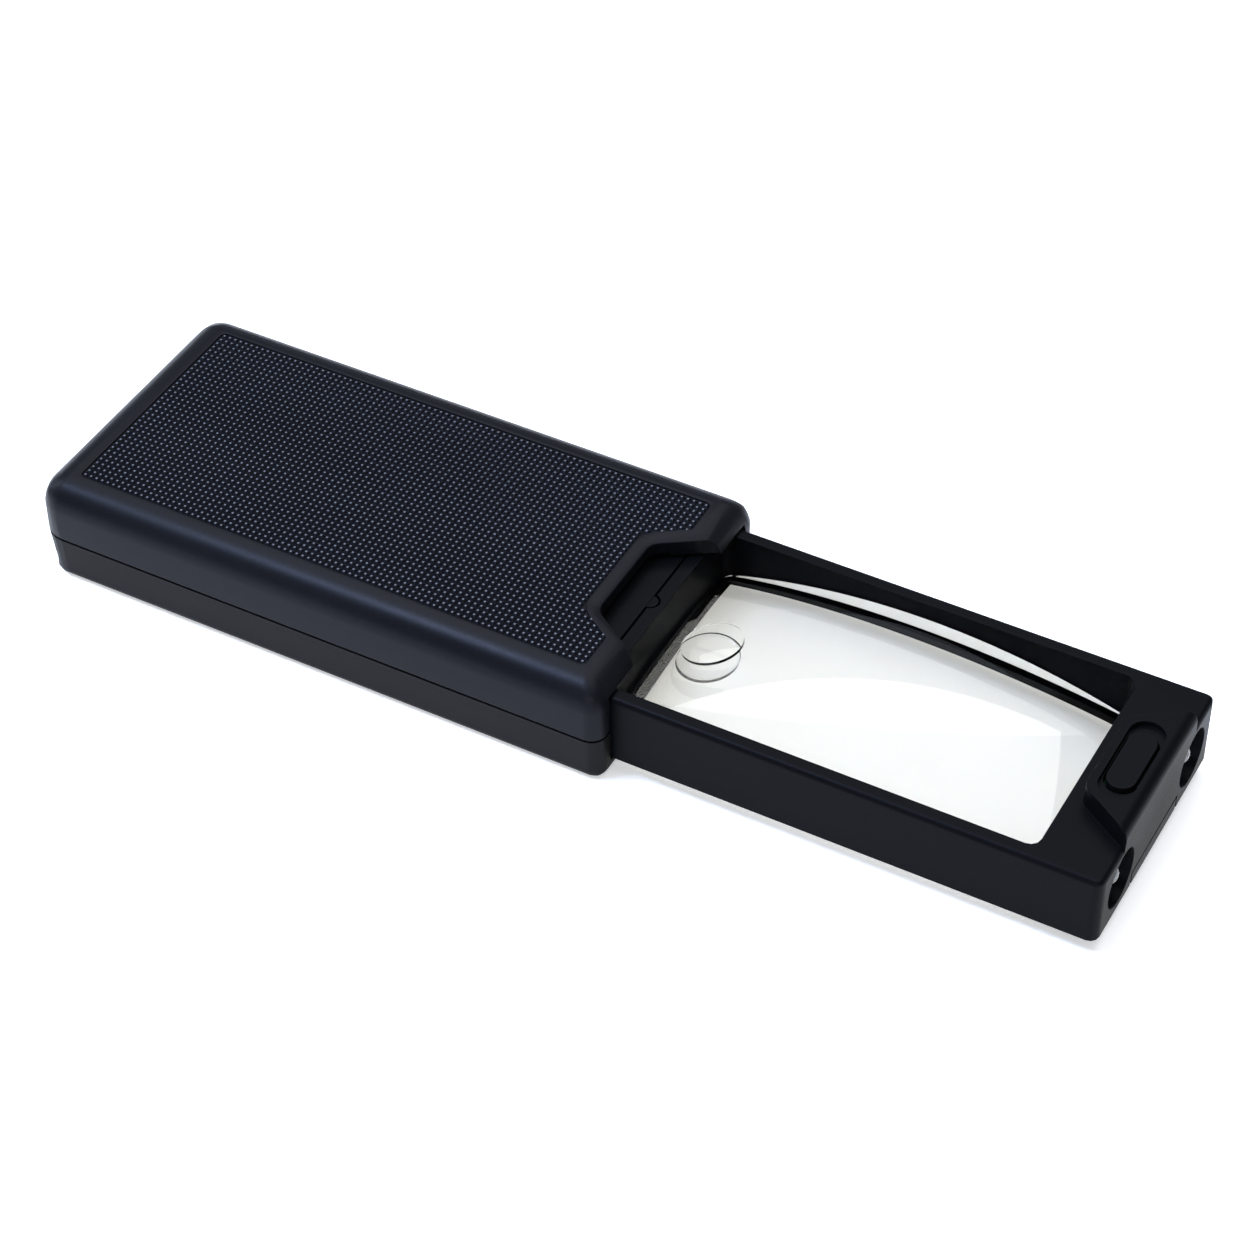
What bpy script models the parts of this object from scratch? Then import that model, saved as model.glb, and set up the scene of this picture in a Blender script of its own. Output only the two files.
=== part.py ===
"""Slide-out lighted pocket magnifier, as separate solids.

Metres, +Z up. The drawer slides along X and stands pulled out towards +X. The origin is on the ground,
under the middle of the pulled-out magnifier. Case pieces are placed from the case's open end, its mouth,
and drawer pieces from the drawer's end face. Shut, the end face is flush with the mouth.
"""
import math

import bmesh
import bpy
from mathutils import Matrix, Vector

# Fits between neighbours
FIT = 0.0003
CONTACT_GAP = 0.0001
HOLE_CLEARANCE = 0.00015
CUT_REACH = 0.001

# Case
CASE_LENGTH = 0.0860
CASE_WIDTH = 0.0434
PARTING_HEIGHT = 0.0070
CASE_TOP_ROUND = 0.0039
CASE_REAR_CORNER = 0.0039
CASE_MOUTH_CORNER = 0.0022
CASE_BOTTOM_ROUND = 0.0013
CASE_DRAFT = 0.0005
CASE_SIDE_WALL = 0.0022
CASE_REAR_WALL = 0.0022
CASE_FLOOR = 0.0018
CASE_ROOF = 0.0024
DRAWER_HEADROOM = 0.0008
COLLAR_LENGTH = 0.0060
LIP_THICKNESS = 0.0009
LIP_HEIGHT = 0.0012
LIP_CORNER = 0.0025
GRIP_RECESS = 0.00035
GRIP_REAR_BORDER = 0.0050
GRIP_MOUTH_BORDER = 0.0044
GRIP_SIDE_BORDER = 0.0044
GRIP_CORNER = 0.0008

# Thumb notch in the case's mouth
NOTCH_DEPTH = 0.0080
NOTCH_BACK_HALF = 0.0071
NOTCH_MOUTH_HALF = 0.0119
NOTCH_SHOULDER = 0.0008
NOTCH_CORNER = 0.0022
NOTCH_SMALLEST_CORNER = 0.0005
NOTCH_DISH_WIDTH = 0.0014
NOTCH_DISH_DEPTH = 0.0006
NOTCH_DISH_BORDER = 0.0004

# Drawer frame
DRAWER_REAR_GAP = 0.00155
REACH_IN_CASE = 0.0022
SHOULDER_WIDTH = 0.0009
DRAWER_TOP_ROUND = 0.0008
DRAWER_END_CORNER = 0.0013
WINDOW_CORNER = 0.0015
WINDOW_REAR_DRAFT = 0.0006
FRAME_SIDE_WALL = 0.0021
FRAME_REAR_WALL = 0.00185
END_SKIN = 0.0006

# Platform that fills the notch when the drawer is shut
PLATFORM_CLEARANCE = 0.0003
PLATFORM_SINK = 0.0003
PLATFORM_ROOT = 0.0015
PLATFORM_SIDE_SLOPE = 0.0003
PLATFORM_BACK_SLOPE = 0.0002
PLATFORM_END_ROUND = 0.0016
PLATFORM_SKIN = 0.0006

# Lens
LENS_CROWN = 0.0060
LENS_CORNER_THICKNESS = 0.0017
FLANGE_WIDTH = 0.0006
FLANGE_THICKNESS = 0.0014
SPOT_RADIUS = 0.00415
SPOT_TOP_RADIUS = 0.020
SPOT_RISE = 0.0002
SPOT_ROOT = 0.0020
SPOT_DROP = 0.0009
SPOT_FROM_WINDOW_REAR = 0.0070

# Base plate under the lens, and its screws
BASE_THICKNESS = 0.0014
BASE_RIM = 0.0006
BASE_REAR_WALL = 0.0012
SCREW_RADIUS = 0.0006
SCREW_HEAD_RADIUS = 0.0012
SCREW_HEAD_HEIGHT = 0.0006
SCREW_LENGTH = 0.0050
SCREW_BOSS_RADIUS = 0.0020
REAR_SCREW_HALF_SPACING = 0.0090
REAR_SCREW_INSET = 0.0050
FRONT_SCREW_HALF_SPACING = 0.0150
FRONT_SCREW_INSET = 0.0072

# Rear slide, with the shoulders that stop against the case's collar
REAR_SLIDE_LENGTH = 0.0124
SHOULDER_CLEARANCE = 0.0003
REAR_SLIDE_WALL = 0.0015
TONGUE_LENGTH = 0.0009
TONGUE_THICKNESS = 0.0016
TONGUE_RISE = 0.0015
TONGUE_HALF_WIDTH = 0.0120
NIB_RADIUS = 0.0011

# Button cells and the bay that they lie in
CELL_RADIUS = 0.00395
CELL_THICKNESS = 0.0036
CELL_COUNT = 3
CONTACT_ROOM = 0.0009
BAY_SIDE_WALL = 0.0007
CONTACT_THICKNESS = 0.0003
CONTACT_HEIGHT = 0.0058
CONTACT_LENGTH = 0.0056
CONTACT_TAB_WIDTH = 0.0010
CONTACT_TAB_FROM_END = 0.0032
CONTACT_DIMPLE_RADIUS = 0.0012

# Battery door
DOOR_SIDE_COVER = 0.0002
DOOR_THICKNESS = 0.0011
DOOR_LIP_HEIGHT = 0.0019
DOOR_RAIL_WIDTH = 0.0006
DOOR_RAIL_THICKNESS = 0.0005

# LEDs
LED_RADIUS = 0.0015
LED_FLANGE_WIDTH = 0.0003
LED_FLANGE_THICKNESS = 0.0010
LED_SET_BACK = 0.0004
LED_HALF_SPACING = 0.0115
LED_HEIGHT = 0.00725
LEAD_RADIUS = 0.00025
LEAD_HALF_SPACING = 0.0006
RECESS_RADIUS = 0.0040
RECESS_BOTTOM_RADIUS = 0.0030
RECESS_DEPTH = 0.0043
LED_WALL = 0.0007

# Board, switch and button
BOARD_THICKNESS = 0.0005
SWITCH_WIDTH = 0.0030
SWITCH_HEIGHT = 0.0006
SWITCH_BORE_RADIUS = 0.0008
PLUNGER_RADIUS = 0.0006
PLUNGER_HEIGHT = 0.0008
BUTTON_LENGTH = 0.0103
BUTTON_WIDTH = 0.0037
BUTTON_SINK = 0.0002
BUTTON_FLANGE_LENGTH = 0.0122
BUTTON_FLANGE_THICKNESS = 0.0004
BUTTON_TRAVEL = 0.0005
BUTTON_RELIEF = 0.0005
BUTTON_RECESS_LENGTH = 0.0142
BUTTON_RECESS_WIDTH = 0.0046
BUTTON_RECESS_DEPTH = 0.0008
RESISTOR_SIZE = Vector((0.0016, 0.0008, 0.0004))

# Levels above the ground, each from the one below it
DRAWER_BOTTOM = CASE_FLOOR + FIT
BASE_TOP = DRAWER_BOTTOM + BASE_THICKNESS
LENS_BOTTOM = BASE_TOP + FIT
FLANGE_TOP = LENS_BOTTOM + FLANGE_THICKNESS
LEDGE_LEVEL = FLANGE_TOP + FIT
TONGUE_BOTTOM = LEDGE_LEVEL + TONGUE_RISE
DOOR_TOP = DRAWER_BOTTOM + DOOR_THICKNESS
CELL_AXIS = DOOR_TOP + FIT + CELL_RADIUS
BAY_TOP = CELL_AXIS + CELL_RADIUS + FIT
LEAD_LEVEL = CELL_AXIS + CELL_RADIUS - LEAD_RADIUS - FIT
BOARD_BOTTOM = BAY_TOP
BOARD_TOP = BOARD_BOTTOM + BOARD_THICKNESS
SWITCH_BOTTOM = BOARD_TOP + CONTACT_GAP
SWITCH_TOP = SWITCH_BOTTOM + SWITCH_HEIGHT
PLUNGER_BOTTOM = BOARD_TOP + BUTTON_TRAVEL + CONTACT_GAP
PLUNGER_TOP = PLUNGER_BOTTOM + PLUNGER_HEIGHT
BUTTON_BOTTOM = PLUNGER_TOP + CONTACT_GAP
BUTTON_FLANGE_BOTTOM = BUTTON_BOTTOM - BUTTON_RELIEF
BUTTON_FLANGE_TOP = BUTTON_FLANGE_BOTTOM + BUTTON_FLANGE_THICKNESS
PLATFORM_CEILING = BUTTON_FLANGE_TOP + FIT
RECESS_FLOOR = PLATFORM_CEILING + PLATFORM_SKIN
PLATFORM_TOP = RECESS_FLOOR + BUTTON_RECESS_DEPTH
BUTTON_TOP = PLATFORM_TOP - BUTTON_SINK
CASE_HEIGHT = PLATFORM_TOP + PLATFORM_SINK
CAVITY_TOP = CASE_HEIGHT - CASE_ROOF
DRAWER_TOP = CAVITY_TOP - DRAWER_HEADROOM
MOUTH_TOP = DRAWER_TOP + FIT

# Distances along X, from the mouth in the case and from the end face in the drawer
END_BLOCK_LENGTH = 2 * (CELL_RADIUS + HOLE_CLEARANCE + END_SKIN)
DRAWER_LENGTH = CASE_LENGTH - CASE_REAR_WALL - DRAWER_REAR_GAP
FRAME_REAR = REAR_SLIDE_LENGTH - DRAWER_LENGTH
WINDOW_FRONT = -END_BLOCK_LENGTH
WINDOW_REAR = FRAME_REAR + FRAME_REAR_WALL
TRAVEL = -WINDOW_REAR - REACH_IN_CASE
MOUTH_X = (CASE_LENGTH - TRAVEL) / 2
END_FACE_X = MOUTH_X + TRAVEL
POCKET_REAR = WINDOW_REAR - FLANGE_WIDTH - FIT
SPOT_X = WINDOW_REAR + SPOT_FROM_WINDOW_REAR
SLIDE_FRONT = FRAME_REAR - FIT
SLIDE_REAR = FRAME_REAR - REAR_SLIDE_LENGTH
SHOULDER_FRONT = -TRAVEL - COLLAR_LENGTH - SHOULDER_CLEARANCE
REAR_SCREW_X = SLIDE_FRONT - REAR_SCREW_INSET
BASE_REAR = SLIDE_REAR + BASE_REAR_WALL
CELL_X = -END_BLOCK_LENGTH / 2
BAY_REAR = WINDOW_FRONT + END_SKIN
CHAMBER_FRONT = -RECESS_DEPTH - LED_WALL
BUTTON_FROM_END = NOTCH_DEPTH / 2 + HOLE_CLEARANCE

# Half widths and radii
CAVITY_HALF = CASE_WIDTH / 2 - CASE_SIDE_WALL
SHOULDER_HALF = CAVITY_HALF - FIT
DRAWER_HALF = SHOULDER_HALF - SHOULDER_WIDTH
WINDOW_HALF = DRAWER_HALF - FRAME_SIDE_WALL
POCKET_HALF = WINDOW_HALF + FLANGE_WIDTH + FIT
BAY_HALF_WIDTH = CELL_COUNT * CELL_THICKNESS / 2 + CONTACT_ROOM
BAY_WALL_OUTER = BAY_HALF_WIDTH + BAY_SIDE_WALL
DOOR_HALF_WIDTH = BAY_HALF_WIDTH + DOOR_SIDE_COVER
DOOR_GAP_HALF = DOOR_HALF_WIDTH + FIT
RAIL_HALF = DOOR_HALF_WIDTH + DOOR_RAIL_WIDTH
RAIL_GAP_HALF = RAIL_HALF + FIT
LED_FLANGE_RADIUS = LED_RADIUS + LED_FLANGE_WIDTH


def clear_scene():
    for item in list(bpy.data.objects):
        bpy.data.objects.remove(item, do_unlink=True)


def new_collection(name):
    collection = bpy.data.collections.new(name)
    bpy.context.scene.collection.children.link(collection)
    return collection


def new_material(name, colour, roughness, metallic=0.0, transmission=0.0):
    look = bpy.data.materials.new(name)
    look.use_nodes = True
    shader = look.node_tree.nodes["Principled BSDF"]
    shader.inputs["Base Color"].default_value = (*colour, 1.0)
    shader.inputs["Roughness"].default_value = roughness
    shader.inputs["Metallic"].default_value = metallic
    shader.inputs["Transmission Weight"].default_value = transmission
    look.diffuse_color = (*colour, 1.0)
    return look


def new_empty(name, x):
    empty = bpy.data.objects.new(name, None)
    empty.location = (x, 0, 0)
    parts.objects.link(empty)
    return empty


def place_mesh(name, shape, parent, look, location):
    """An object from a finished bmesh: a part where it has a material, else a cutter."""
    mesh = bpy.data.meshes.new(name)
    shape.to_mesh(mesh)
    shape.free()
    item = bpy.data.objects.new(name, mesh)
    item.parent = parent
    item.location = location
    if look is None:
        item.hide_render = True
        item.display_type = 'WIRE'
        cutters.objects.link(item)
    else:
        mesh.materials.append(look)
        parts.objects.link(item)
    return item


def new_solid(name, shape, parent, look=None, location=(0, 0, 0)):
    bmesh.ops.recalc_face_normals(shape, faces=shape.faces)
    return place_mesh(name, shape, parent, look, location)


def box(name, x, y, z, parent, look=None):
    """A block between two X, two Y and two Z values, with its origin at its centre."""
    low = Vector((x[0], y[0], z[0]))
    high = Vector((x[1], y[1], z[1]))
    shape = bmesh.new()
    bmesh.ops.create_cube(shape, size=1, matrix=Matrix.Diagonal((*(high - low), 1)))
    return new_solid(name, shape, parent, look, (low + high) / 2)


def cylinder(name, radius, start, end, parent, look=None, end_radius=None, segments=32):
    """A straight cylinder or cone between two points."""
    start, end = Vector(start), Vector(end)
    shape = bmesh.new()
    turn = Vector((0, 0, 1)).rotation_difference(end - start).to_matrix().to_4x4()
    bmesh.ops.create_cone(
        shape, cap_ends=True, segments=segments, radius1=radius,
        radius2=radius if end_radius is None else end_radius,
        depth=(end - start).length, matrix=turn)
    item = new_solid(name, shape, parent, look, (start + end) / 2)
    shade_round(item)
    return item


def turned(name, profile, segments, parent, look, location, tilt=0.0):
    """A solid turned about its local Z axis from a profile that runs from the top down to the bottom."""
    shape = bmesh.new()
    points = [shape.verts.new((radius, 0, z)) for radius, z in profile]
    for first, second in zip(points, points[1:]):
        shape.edges.new((first, second))
    item = place_mesh(name, shape, parent, look, location)
    item.rotation_euler = (0, tilt, 0)
    screw = item.modifiers.new("turning", 'SCREW')
    screw.steps = segments
    screw.render_steps = segments
    screw.use_merge_vertices = True
    screw.merge_threshold = 0.00001
    return item


def ring_loft(shape, low, high, z_low, z_high):
    """Joins two outlines with the same number of points, one above the other, into a closed block."""
    rings = []
    for outline, z in ((low, z_low), (high, z_high)):
        rings.append([shape.verts.new((x, y, z)) for x, y in outline])
    count = len(low)
    for index in range(count):
        following = (index + 1) % count
        shape.faces.new((rings[0][index], rings[0][following], rings[1][following], rings[1][index]))
    shape.faces.new(rings[0])
    shape.faces.new(rings[1])


def loft(name, low, high, z_low, z_high, parent, look=None):
    shape = bmesh.new()
    ring_loft(shape, low, high, z_low, z_high)
    return new_solid(name, shape, parent, look)


def shade_round(item, angle=math.radians(40)):
    item.data.shade_smooth()
    item.data.set_sharp_from_angle(angle=angle)


def combine(item, other, operation):
    step = item.modifiers.new(other.name, 'BOOLEAN')
    step.operation = operation
    step.solver = 'EXACT'
    step.object = other


def cut(item, *others):
    for other in others:
        combine(item, other, 'DIFFERENCE')


def join(item, *others):
    for other in others:
        combine(item, other, 'UNION')


def round_edges(item, radius_of, segments):
    """Rounds each edge by the radius that radius_of gives for its middle and its direction."""
    shape = bmesh.new()
    shape.from_mesh(item.data)
    weights = shape.edges.layers.float.new("bevel_weight_edge")
    radii = {}
    for edge in shape.edges:
        start, end = edge.verts[0].co, edge.verts[1].co
        radii[edge] = radius_of((start + end) / 2, (end - start).normalized())
    largest = max(radii.values())
    for edge, radius in radii.items():
        edge[weights] = radius / largest
    shape.to_mesh(item.data)
    shape.free()
    rounding = item.modifiers.new("rounding", 'BEVEL')
    rounding.limit_method = 'WEIGHT'
    rounding.width = largest
    rounding.segments = segments
    item.modifiers.new("flat_faces", 'TRIANGULATE')
    shade_round(item)


def round_uprights(item, radius, segments):
    round_edges(item, lambda middle, run: radius if abs(run.z) > 0.9 else 0.0, segments)


def arc(centre, radius, start, end, steps=5):
    """Points on an arc in plan, from one angle to another in degrees."""
    points = []
    for index in range(steps + 1):
        angle = math.radians(start + (end - start) * index / steps)
        points.append((centre[0] + radius * math.cos(angle), centre[1] + radius * math.sin(angle)))
    return points


def notch_outline(side_offset, back_offset, reach):
    """The thumb notch in plan, offset outwards, from its back to a distance past the mouth.

    Each half is an arc at the back corner, a slanted side and, where the reach leaves room for it,
    an arc at the shoulder and a straight run."""
    slant = math.atan2(NOTCH_MOUTH_HALF - NOTCH_BACK_HALF, NOTCH_DEPTH - NOTCH_SHOULDER)
    back_x = -NOTCH_DEPTH - back_offset
    mouth_y = NOTCH_MOUTH_HALF + side_offset
    side_y = NOTCH_BACK_HALF + side_offset / math.cos(slant) - back_offset * math.tan(slant)
    back_radius = max(NOTCH_CORNER + min(side_offset, back_offset), NOTCH_SMALLEST_CORNER)
    back_centre = (back_x + back_radius, side_y - back_radius * math.tan((math.pi / 2 - slant) / 2))
    side_angle = 90 + math.degrees(slant)
    half = arc(back_centre, back_radius, 180, side_angle)
    shoulder_x = back_x + (mouth_y - side_y) / math.tan(slant)
    room = reach - shoulder_x
    if room > 0:
        shoulder_tangent = min(NOTCH_CORNER * math.tan(slant / 2), room / 2)
        shoulder_radius = shoulder_tangent / math.tan(slant / 2)
        shoulder_centre = (shoulder_x + shoulder_tangent, mouth_y - shoulder_radius)
        half += arc(shoulder_centre, shoulder_radius, side_angle, 90)
        half.append((reach, mouth_y))
    else:
        half.append((reach, side_y + (reach - back_x) * math.tan(slant)))
    return half + [(x, -y) for x, y in reversed(half)]


def rounded_rectangle(rear, front, half, radius):
    """A rectangle with round corners in plan, symmetric about the X axis."""
    inner = half - radius
    corners = [((front - radius, inner), 0), ((rear + radius, inner), 90),
               ((rear + radius, -inner), 180), ((front - radius, -inner), 270)]
    outline = []
    for centre, start in corners:
        outline += arc(centre, radius, start, start + 90, 3)
    return outline


def stadium(name, length, width, x, z, parent, look=None):
    """An upright block with round ends, long in Y, centred at a distance along X."""
    middle = length / 2 - width / 2
    outline = arc((0, middle), width / 2, 0, 180, 10) + arc((0, -middle), width / 2, 180, 360, 10)
    shape = bmesh.new()
    half = (z[1] - z[0]) / 2
    ring_loft(shape, outline, outline, -half, half)
    item = new_solid(name, shape, parent, look, (x, 0, (z[0] + z[1]) / 2))
    shade_round(item)
    return item


def case_block(name, look):
    """The whole outer form of the case, narrower at its foot, before it is parted and hollowed."""
    shape = bmesh.new()
    size = Matrix.Diagonal((CASE_LENGTH, CASE_WIDTH, CASE_HEIGHT, 1))
    lift = Matrix.Translation((-CASE_LENGTH / 2, 0, CASE_HEIGHT / 2))
    bmesh.ops.create_cube(shape, size=1, matrix=lift @ size)
    bmesh.ops.bisect_plane(
        shape, geom=shape.verts[:] + shape.edges[:] + shape.faces[:],
        plane_co=(0, 0, PARTING_HEIGHT), plane_no=(0, 0, 1))
    for corner in shape.verts:
        if corner.co.z < PARTING_HEIGHT / 2:
            corner.co.y -= math.copysign(CASE_DRAFT, corner.co.y)
            if corner.co.x < -CASE_LENGTH / 2:
                corner.co.x += CASE_DRAFT
    item = new_solid(name, shape, case, look)

    def radius_of(middle, run):
        if abs(run.z) > 0.9:
            return CASE_REAR_CORNER if middle.x < -CASE_LENGTH / 2 else CASE_MOUTH_CORNER
        if middle.z > CASE_HEIGHT - CUT_REACH:
            return CASE_TOP_ROUND
        return CASE_BOTTOM_ROUND if middle.z < CUT_REACH else 0.0

    round_edges(item, radius_of, 5)
    return item


def case_hollow(name):
    """The space that the drawer slides in, behind the collar."""
    return box(name, (-CASE_LENGTH + CASE_REAR_WALL, -COLLAR_LENGTH), (-CAVITY_HALF, CAVITY_HALF),
               (CASE_FLOOR, CAVITY_TOP), case)


def mouth_hollow(name):
    """The opening in the collar that guides the drawer."""
    half = DRAWER_HALF + FIT
    return box(name, (-COLLAR_LENGTH - CUT_REACH, CUT_REACH), (-half, half),
               (DRAWER_BOTTOM - FIT, MOUTH_TOP), case)


def lip_block(name, clearance):
    """The locating lip's outer form, grown by a clearance for the rebate that takes it."""
    half = CAVITY_HALF + LIP_THICKNESS + clearance
    rear = -CASE_LENGTH + CASE_REAR_WALL - LIP_THICKNESS - clearance
    item = box(name, (rear, -CASE_MOUTH_CORNER + clearance), (-half, half),
               (PARTING_HEIGHT - LIP_HEIGHT, PARTING_HEIGHT + LIP_HEIGHT + clearance), case)
    round_uprights(item, LIP_CORNER, 4)
    return item


def beyond_parting(name, z):
    reach = CASE_LENGTH
    return box(name, (-CASE_LENGTH - reach, reach), (-reach, reach), z, case)


def make_case_bottom():
    shell = case_block("case_bottom_shell", black_plastic)
    cut(shell, beyond_parting("above_parting", (PARTING_HEIGHT - FIT / 2, 2 * CASE_HEIGHT)))
    join(shell, lip_block("lip", 0.0))
    cut(shell, case_hollow("bottom_hollow"), mouth_hollow("bottom_mouth"))


def make_case_top():
    shell = case_block("case_top_shell", black_plastic)
    cut(shell, beyond_parting("below_parting", (-CASE_HEIGHT, PARTING_HEIGHT + FIT / 2)))
    cut(shell, lip_block("rebate", FIT), case_hollow("top_hollow"), mouth_hollow("top_mouth"))
    opening = notch_outline(0.0, 0.0, CUT_REACH)
    spread = NOTCH_DISH_WIDTH / NOTCH_DISH_DEPTH * CUT_REACH
    dish_foot = notch_outline(-spread / 2, -spread / 2, CUT_REACH)
    dish_rim = notch_outline(NOTCH_DISH_WIDTH + spread, NOTCH_DISH_WIDTH + spread, CUT_REACH)
    grip = box("grip_recess", (-CASE_LENGTH + GRIP_REAR_BORDER, -GRIP_MOUTH_BORDER),
               (GRIP_SIDE_BORDER - CASE_WIDTH / 2, CASE_WIDTH / 2 - GRIP_SIDE_BORDER),
               (CASE_HEIGHT - GRIP_RECESS, CASE_HEIGHT + CUT_REACH), case)
    round_uprights(grip, GRIP_CORNER, 3)
    border = NOTCH_DISH_WIDTH + NOTCH_DISH_BORDER
    surround = notch_outline(border, border, CUT_REACH)
    cut(grip, loft("grip_surround", surround, surround, CASE_HEIGHT - 2 * CUT_REACH,
                   CASE_HEIGHT + 2 * CUT_REACH, case))
    cut(shell, grip)
    cut(shell, loft("notch_dish", dish_foot, dish_rim, CASE_HEIGHT - NOTCH_DISH_DEPTH - CUT_REACH / 2,
                    CASE_HEIGHT + CUT_REACH, case))
    cut(shell, loft("notch_opening", opening, opening, CAVITY_TOP - 2 * CUT_REACH,
                    CASE_HEIGHT + 2 * CUT_REACH, case))


def make_platform():
    """The raised block on the end of the drawer, sloped at its sides and rounded at the end face."""
    base = notch_outline(-PLATFORM_CLEARANCE, -PLATFORM_CLEARANCE, CUT_REACH)
    top = notch_outline(-PLATFORM_CLEARANCE - PLATFORM_SIDE_SLOPE,
                        -PLATFORM_CLEARANCE - PLATFORM_BACK_SLOPE, CUT_REACH)
    platform = loft("platform", base, top, DRAWER_TOP - PLATFORM_ROOT, PLATFORM_TOP + CUT_REACH, drawer)
    crest = box("platform_crest", (-2 * NOTCH_DEPTH, 0), (-DRAWER_HALF, DRAWER_HALF),
                (DRAWER_TOP - 2 * PLATFORM_ROOT, PLATFORM_TOP), drawer)

    def radius_of(middle, run):
        at_end_edge = middle.x > NOTCH_DEPTH - CONTACT_GAP and middle.z > PLATFORM_ROOT
        return PLATFORM_END_ROUND if at_end_edge else 0.0

    round_edges(crest, radius_of, 6)
    combine(platform, crest, 'INTERSECT')
    return platform


def window_block():
    """The window above the lens's ledge; its rear side leans back towards the top."""
    lean = WINDOW_REAR_DRAFT / (DRAWER_TOP - LEDGE_LEVEL) * CUT_REACH
    foot = rounded_rectangle(WINDOW_REAR + WINDOW_REAR_DRAFT + lean, WINDOW_FRONT, WINDOW_HALF, WINDOW_CORNER)
    rim = rounded_rectangle(WINDOW_REAR - lean, WINDOW_FRONT, WINDOW_HALF, WINDOW_CORNER)
    return loft("window", foot, rim, LEDGE_LEVEL - CUT_REACH, DRAWER_TOP + CUT_REACH, drawer)


def make_lens_frame():
    frame = box("lens_frame", (FRAME_REAR, 0), (-DRAWER_HALF, DRAWER_HALF), (DRAWER_BOTTOM, DRAWER_TOP),
                drawer, black_plastic)

    def radius_of(middle, run):
        if abs(run.z) > 0.9:
            return DRAWER_END_CORNER if middle.x > 0 else 0.0
        on_top = middle.z > 0 and middle.x > FRAME_REAR / 2 + CUT_REACH
        return DRAWER_TOP_ROUND if on_top else 0.0

    round_edges(frame, radius_of, 3)
    join(frame, make_platform())
    below = DRAWER_BOTTOM - CUT_REACH
    above = DRAWER_TOP + CUT_REACH
    lens_pocket = box("lens_pocket", (POCKET_REAR, WINDOW_FRONT), (-POCKET_HALF, POCKET_HALF),
                      (below, LEDGE_LEVEL), drawer)
    base_pocket = box("base_pocket", (FRAME_REAR - CUT_REACH, CHAMBER_FRONT),
                      (-POCKET_HALF, POCKET_HALF), (below, BASE_TOP + FIT), drawer)
    cut(frame, window_block(), lens_pocket, base_pocket)
    cut(frame, cylinder("nib_notch", NIB_RADIUS + FIT, (SLIDE_FRONT, 0, DRAWER_TOP - REAR_SLIDE_WALL - FIT),
                        (SLIDE_FRONT, 0, above), drawer, segments=24))
    tongue = TONGUE_HALF_WIDTH + FIT
    cut(frame, box("tongue_pocket", (FRAME_REAR - CUT_REACH, FRAME_REAR + TONGUE_LENGTH + FIT),
                   (-tongue, tongue), (TONGUE_BOTTOM - FIT, TONGUE_BOTTOM + TONGUE_THICKNESS + FIT), drawer))
    cut_end_block(frame)
    for name, x, y in front_screw_places():
        cut(frame, screw_hole(f"{name}_pilot", x, y))


def cut_end_block(frame):
    """Hollows the end block for the cells, the door, the LEDs, the board and the button."""
    below = DRAWER_BOTTOM - CUT_REACH
    bay = box("cell_bay", (BAY_REAR, -END_SKIN), (-BAY_HALF_WIDTH, BAY_HALF_WIDTH), (below, BAY_TOP), drawer)
    door_gap = box("door_gap", (CHAMBER_FRONT - CUT_REACH, CUT_REACH), (-RAIL_GAP_HALF, RAIL_GAP_HALF),
                   (below, BASE_TOP + FIT), drawer)
    lip_gap = box("door_lip_gap", (-END_SKIN - FIT, CUT_REACH), (-RAIL_GAP_HALF, RAIL_GAP_HALF),
                  (below, DRAWER_BOTTOM + DOOR_LIP_HEIGHT + FIT), drawer)
    board_room = loft("board_room", board_outline(FIT), board_outline(FIT),
                      BOARD_BOTTOM - CONTACT_GAP, PLATFORM_CEILING, drawer)
    button_recess = stadium("button_recess", BUTTON_RECESS_LENGTH, BUTTON_RECESS_WIDTH, -BUTTON_FROM_END,
                            (RECESS_FLOOR, PLATFORM_TOP + CUT_REACH), drawer)
    button_hole = stadium("button_hole", BUTTON_LENGTH + 2 * FIT, BUTTON_WIDTH + 2 * FIT, -BUTTON_FROM_END,
                          (PLATFORM_CEILING - CUT_REACH, PLATFORM_TOP + CUT_REACH), drawer)
    cut(frame, bay, door_gap, lip_gap, board_room, button_recess, button_hole)
    passage_top = LEAD_LEVEL + 2 * LEAD_RADIUS
    cut(frame, box("lead_passage", (BAY_REAR, CHAMBER_FRONT - CUT_REACH),
                   (-LED_HALF_SPACING, LED_HALF_SPACING), (LEAD_LEVEL - 2 * LEAD_RADIUS, passage_top), drawer))
    chamber_outer = LED_HALF_SPACING + LED_FLANGE_RADIUS + FIT
    slope = (RECESS_RADIUS - RECESS_BOTTOM_RADIUS) / RECESS_DEPTH
    for side, word in ((-1, "near"), (1, "far")):
        y = side * LED_HALF_SPACING
        walls = sorted((side * BAY_WALL_OUTER, side * chamber_outer))
        chamber = box(f"{word}_led_chamber", (BAY_REAR, CHAMBER_FRONT), walls, (below, passage_top), drawer)
        led_hole = cylinder(f"{word}_led_hole", LED_RADIUS + HOLE_CLEARANCE,
                            (CHAMBER_FRONT - CUT_REACH, y, LED_HEIGHT), (0, y, LED_HEIGHT),
                            drawer, segments=20)
        recess = cylinder(f"{word}_led_recess", RECESS_BOTTOM_RADIUS, (-RECESS_DEPTH, y, LED_HEIGHT),
                          (CUT_REACH, y, LED_HEIGHT), drawer,
                          end_radius=RECESS_RADIUS + slope * CUT_REACH, segments=40)
        cut(frame, chamber, led_hole, recess)


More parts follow.
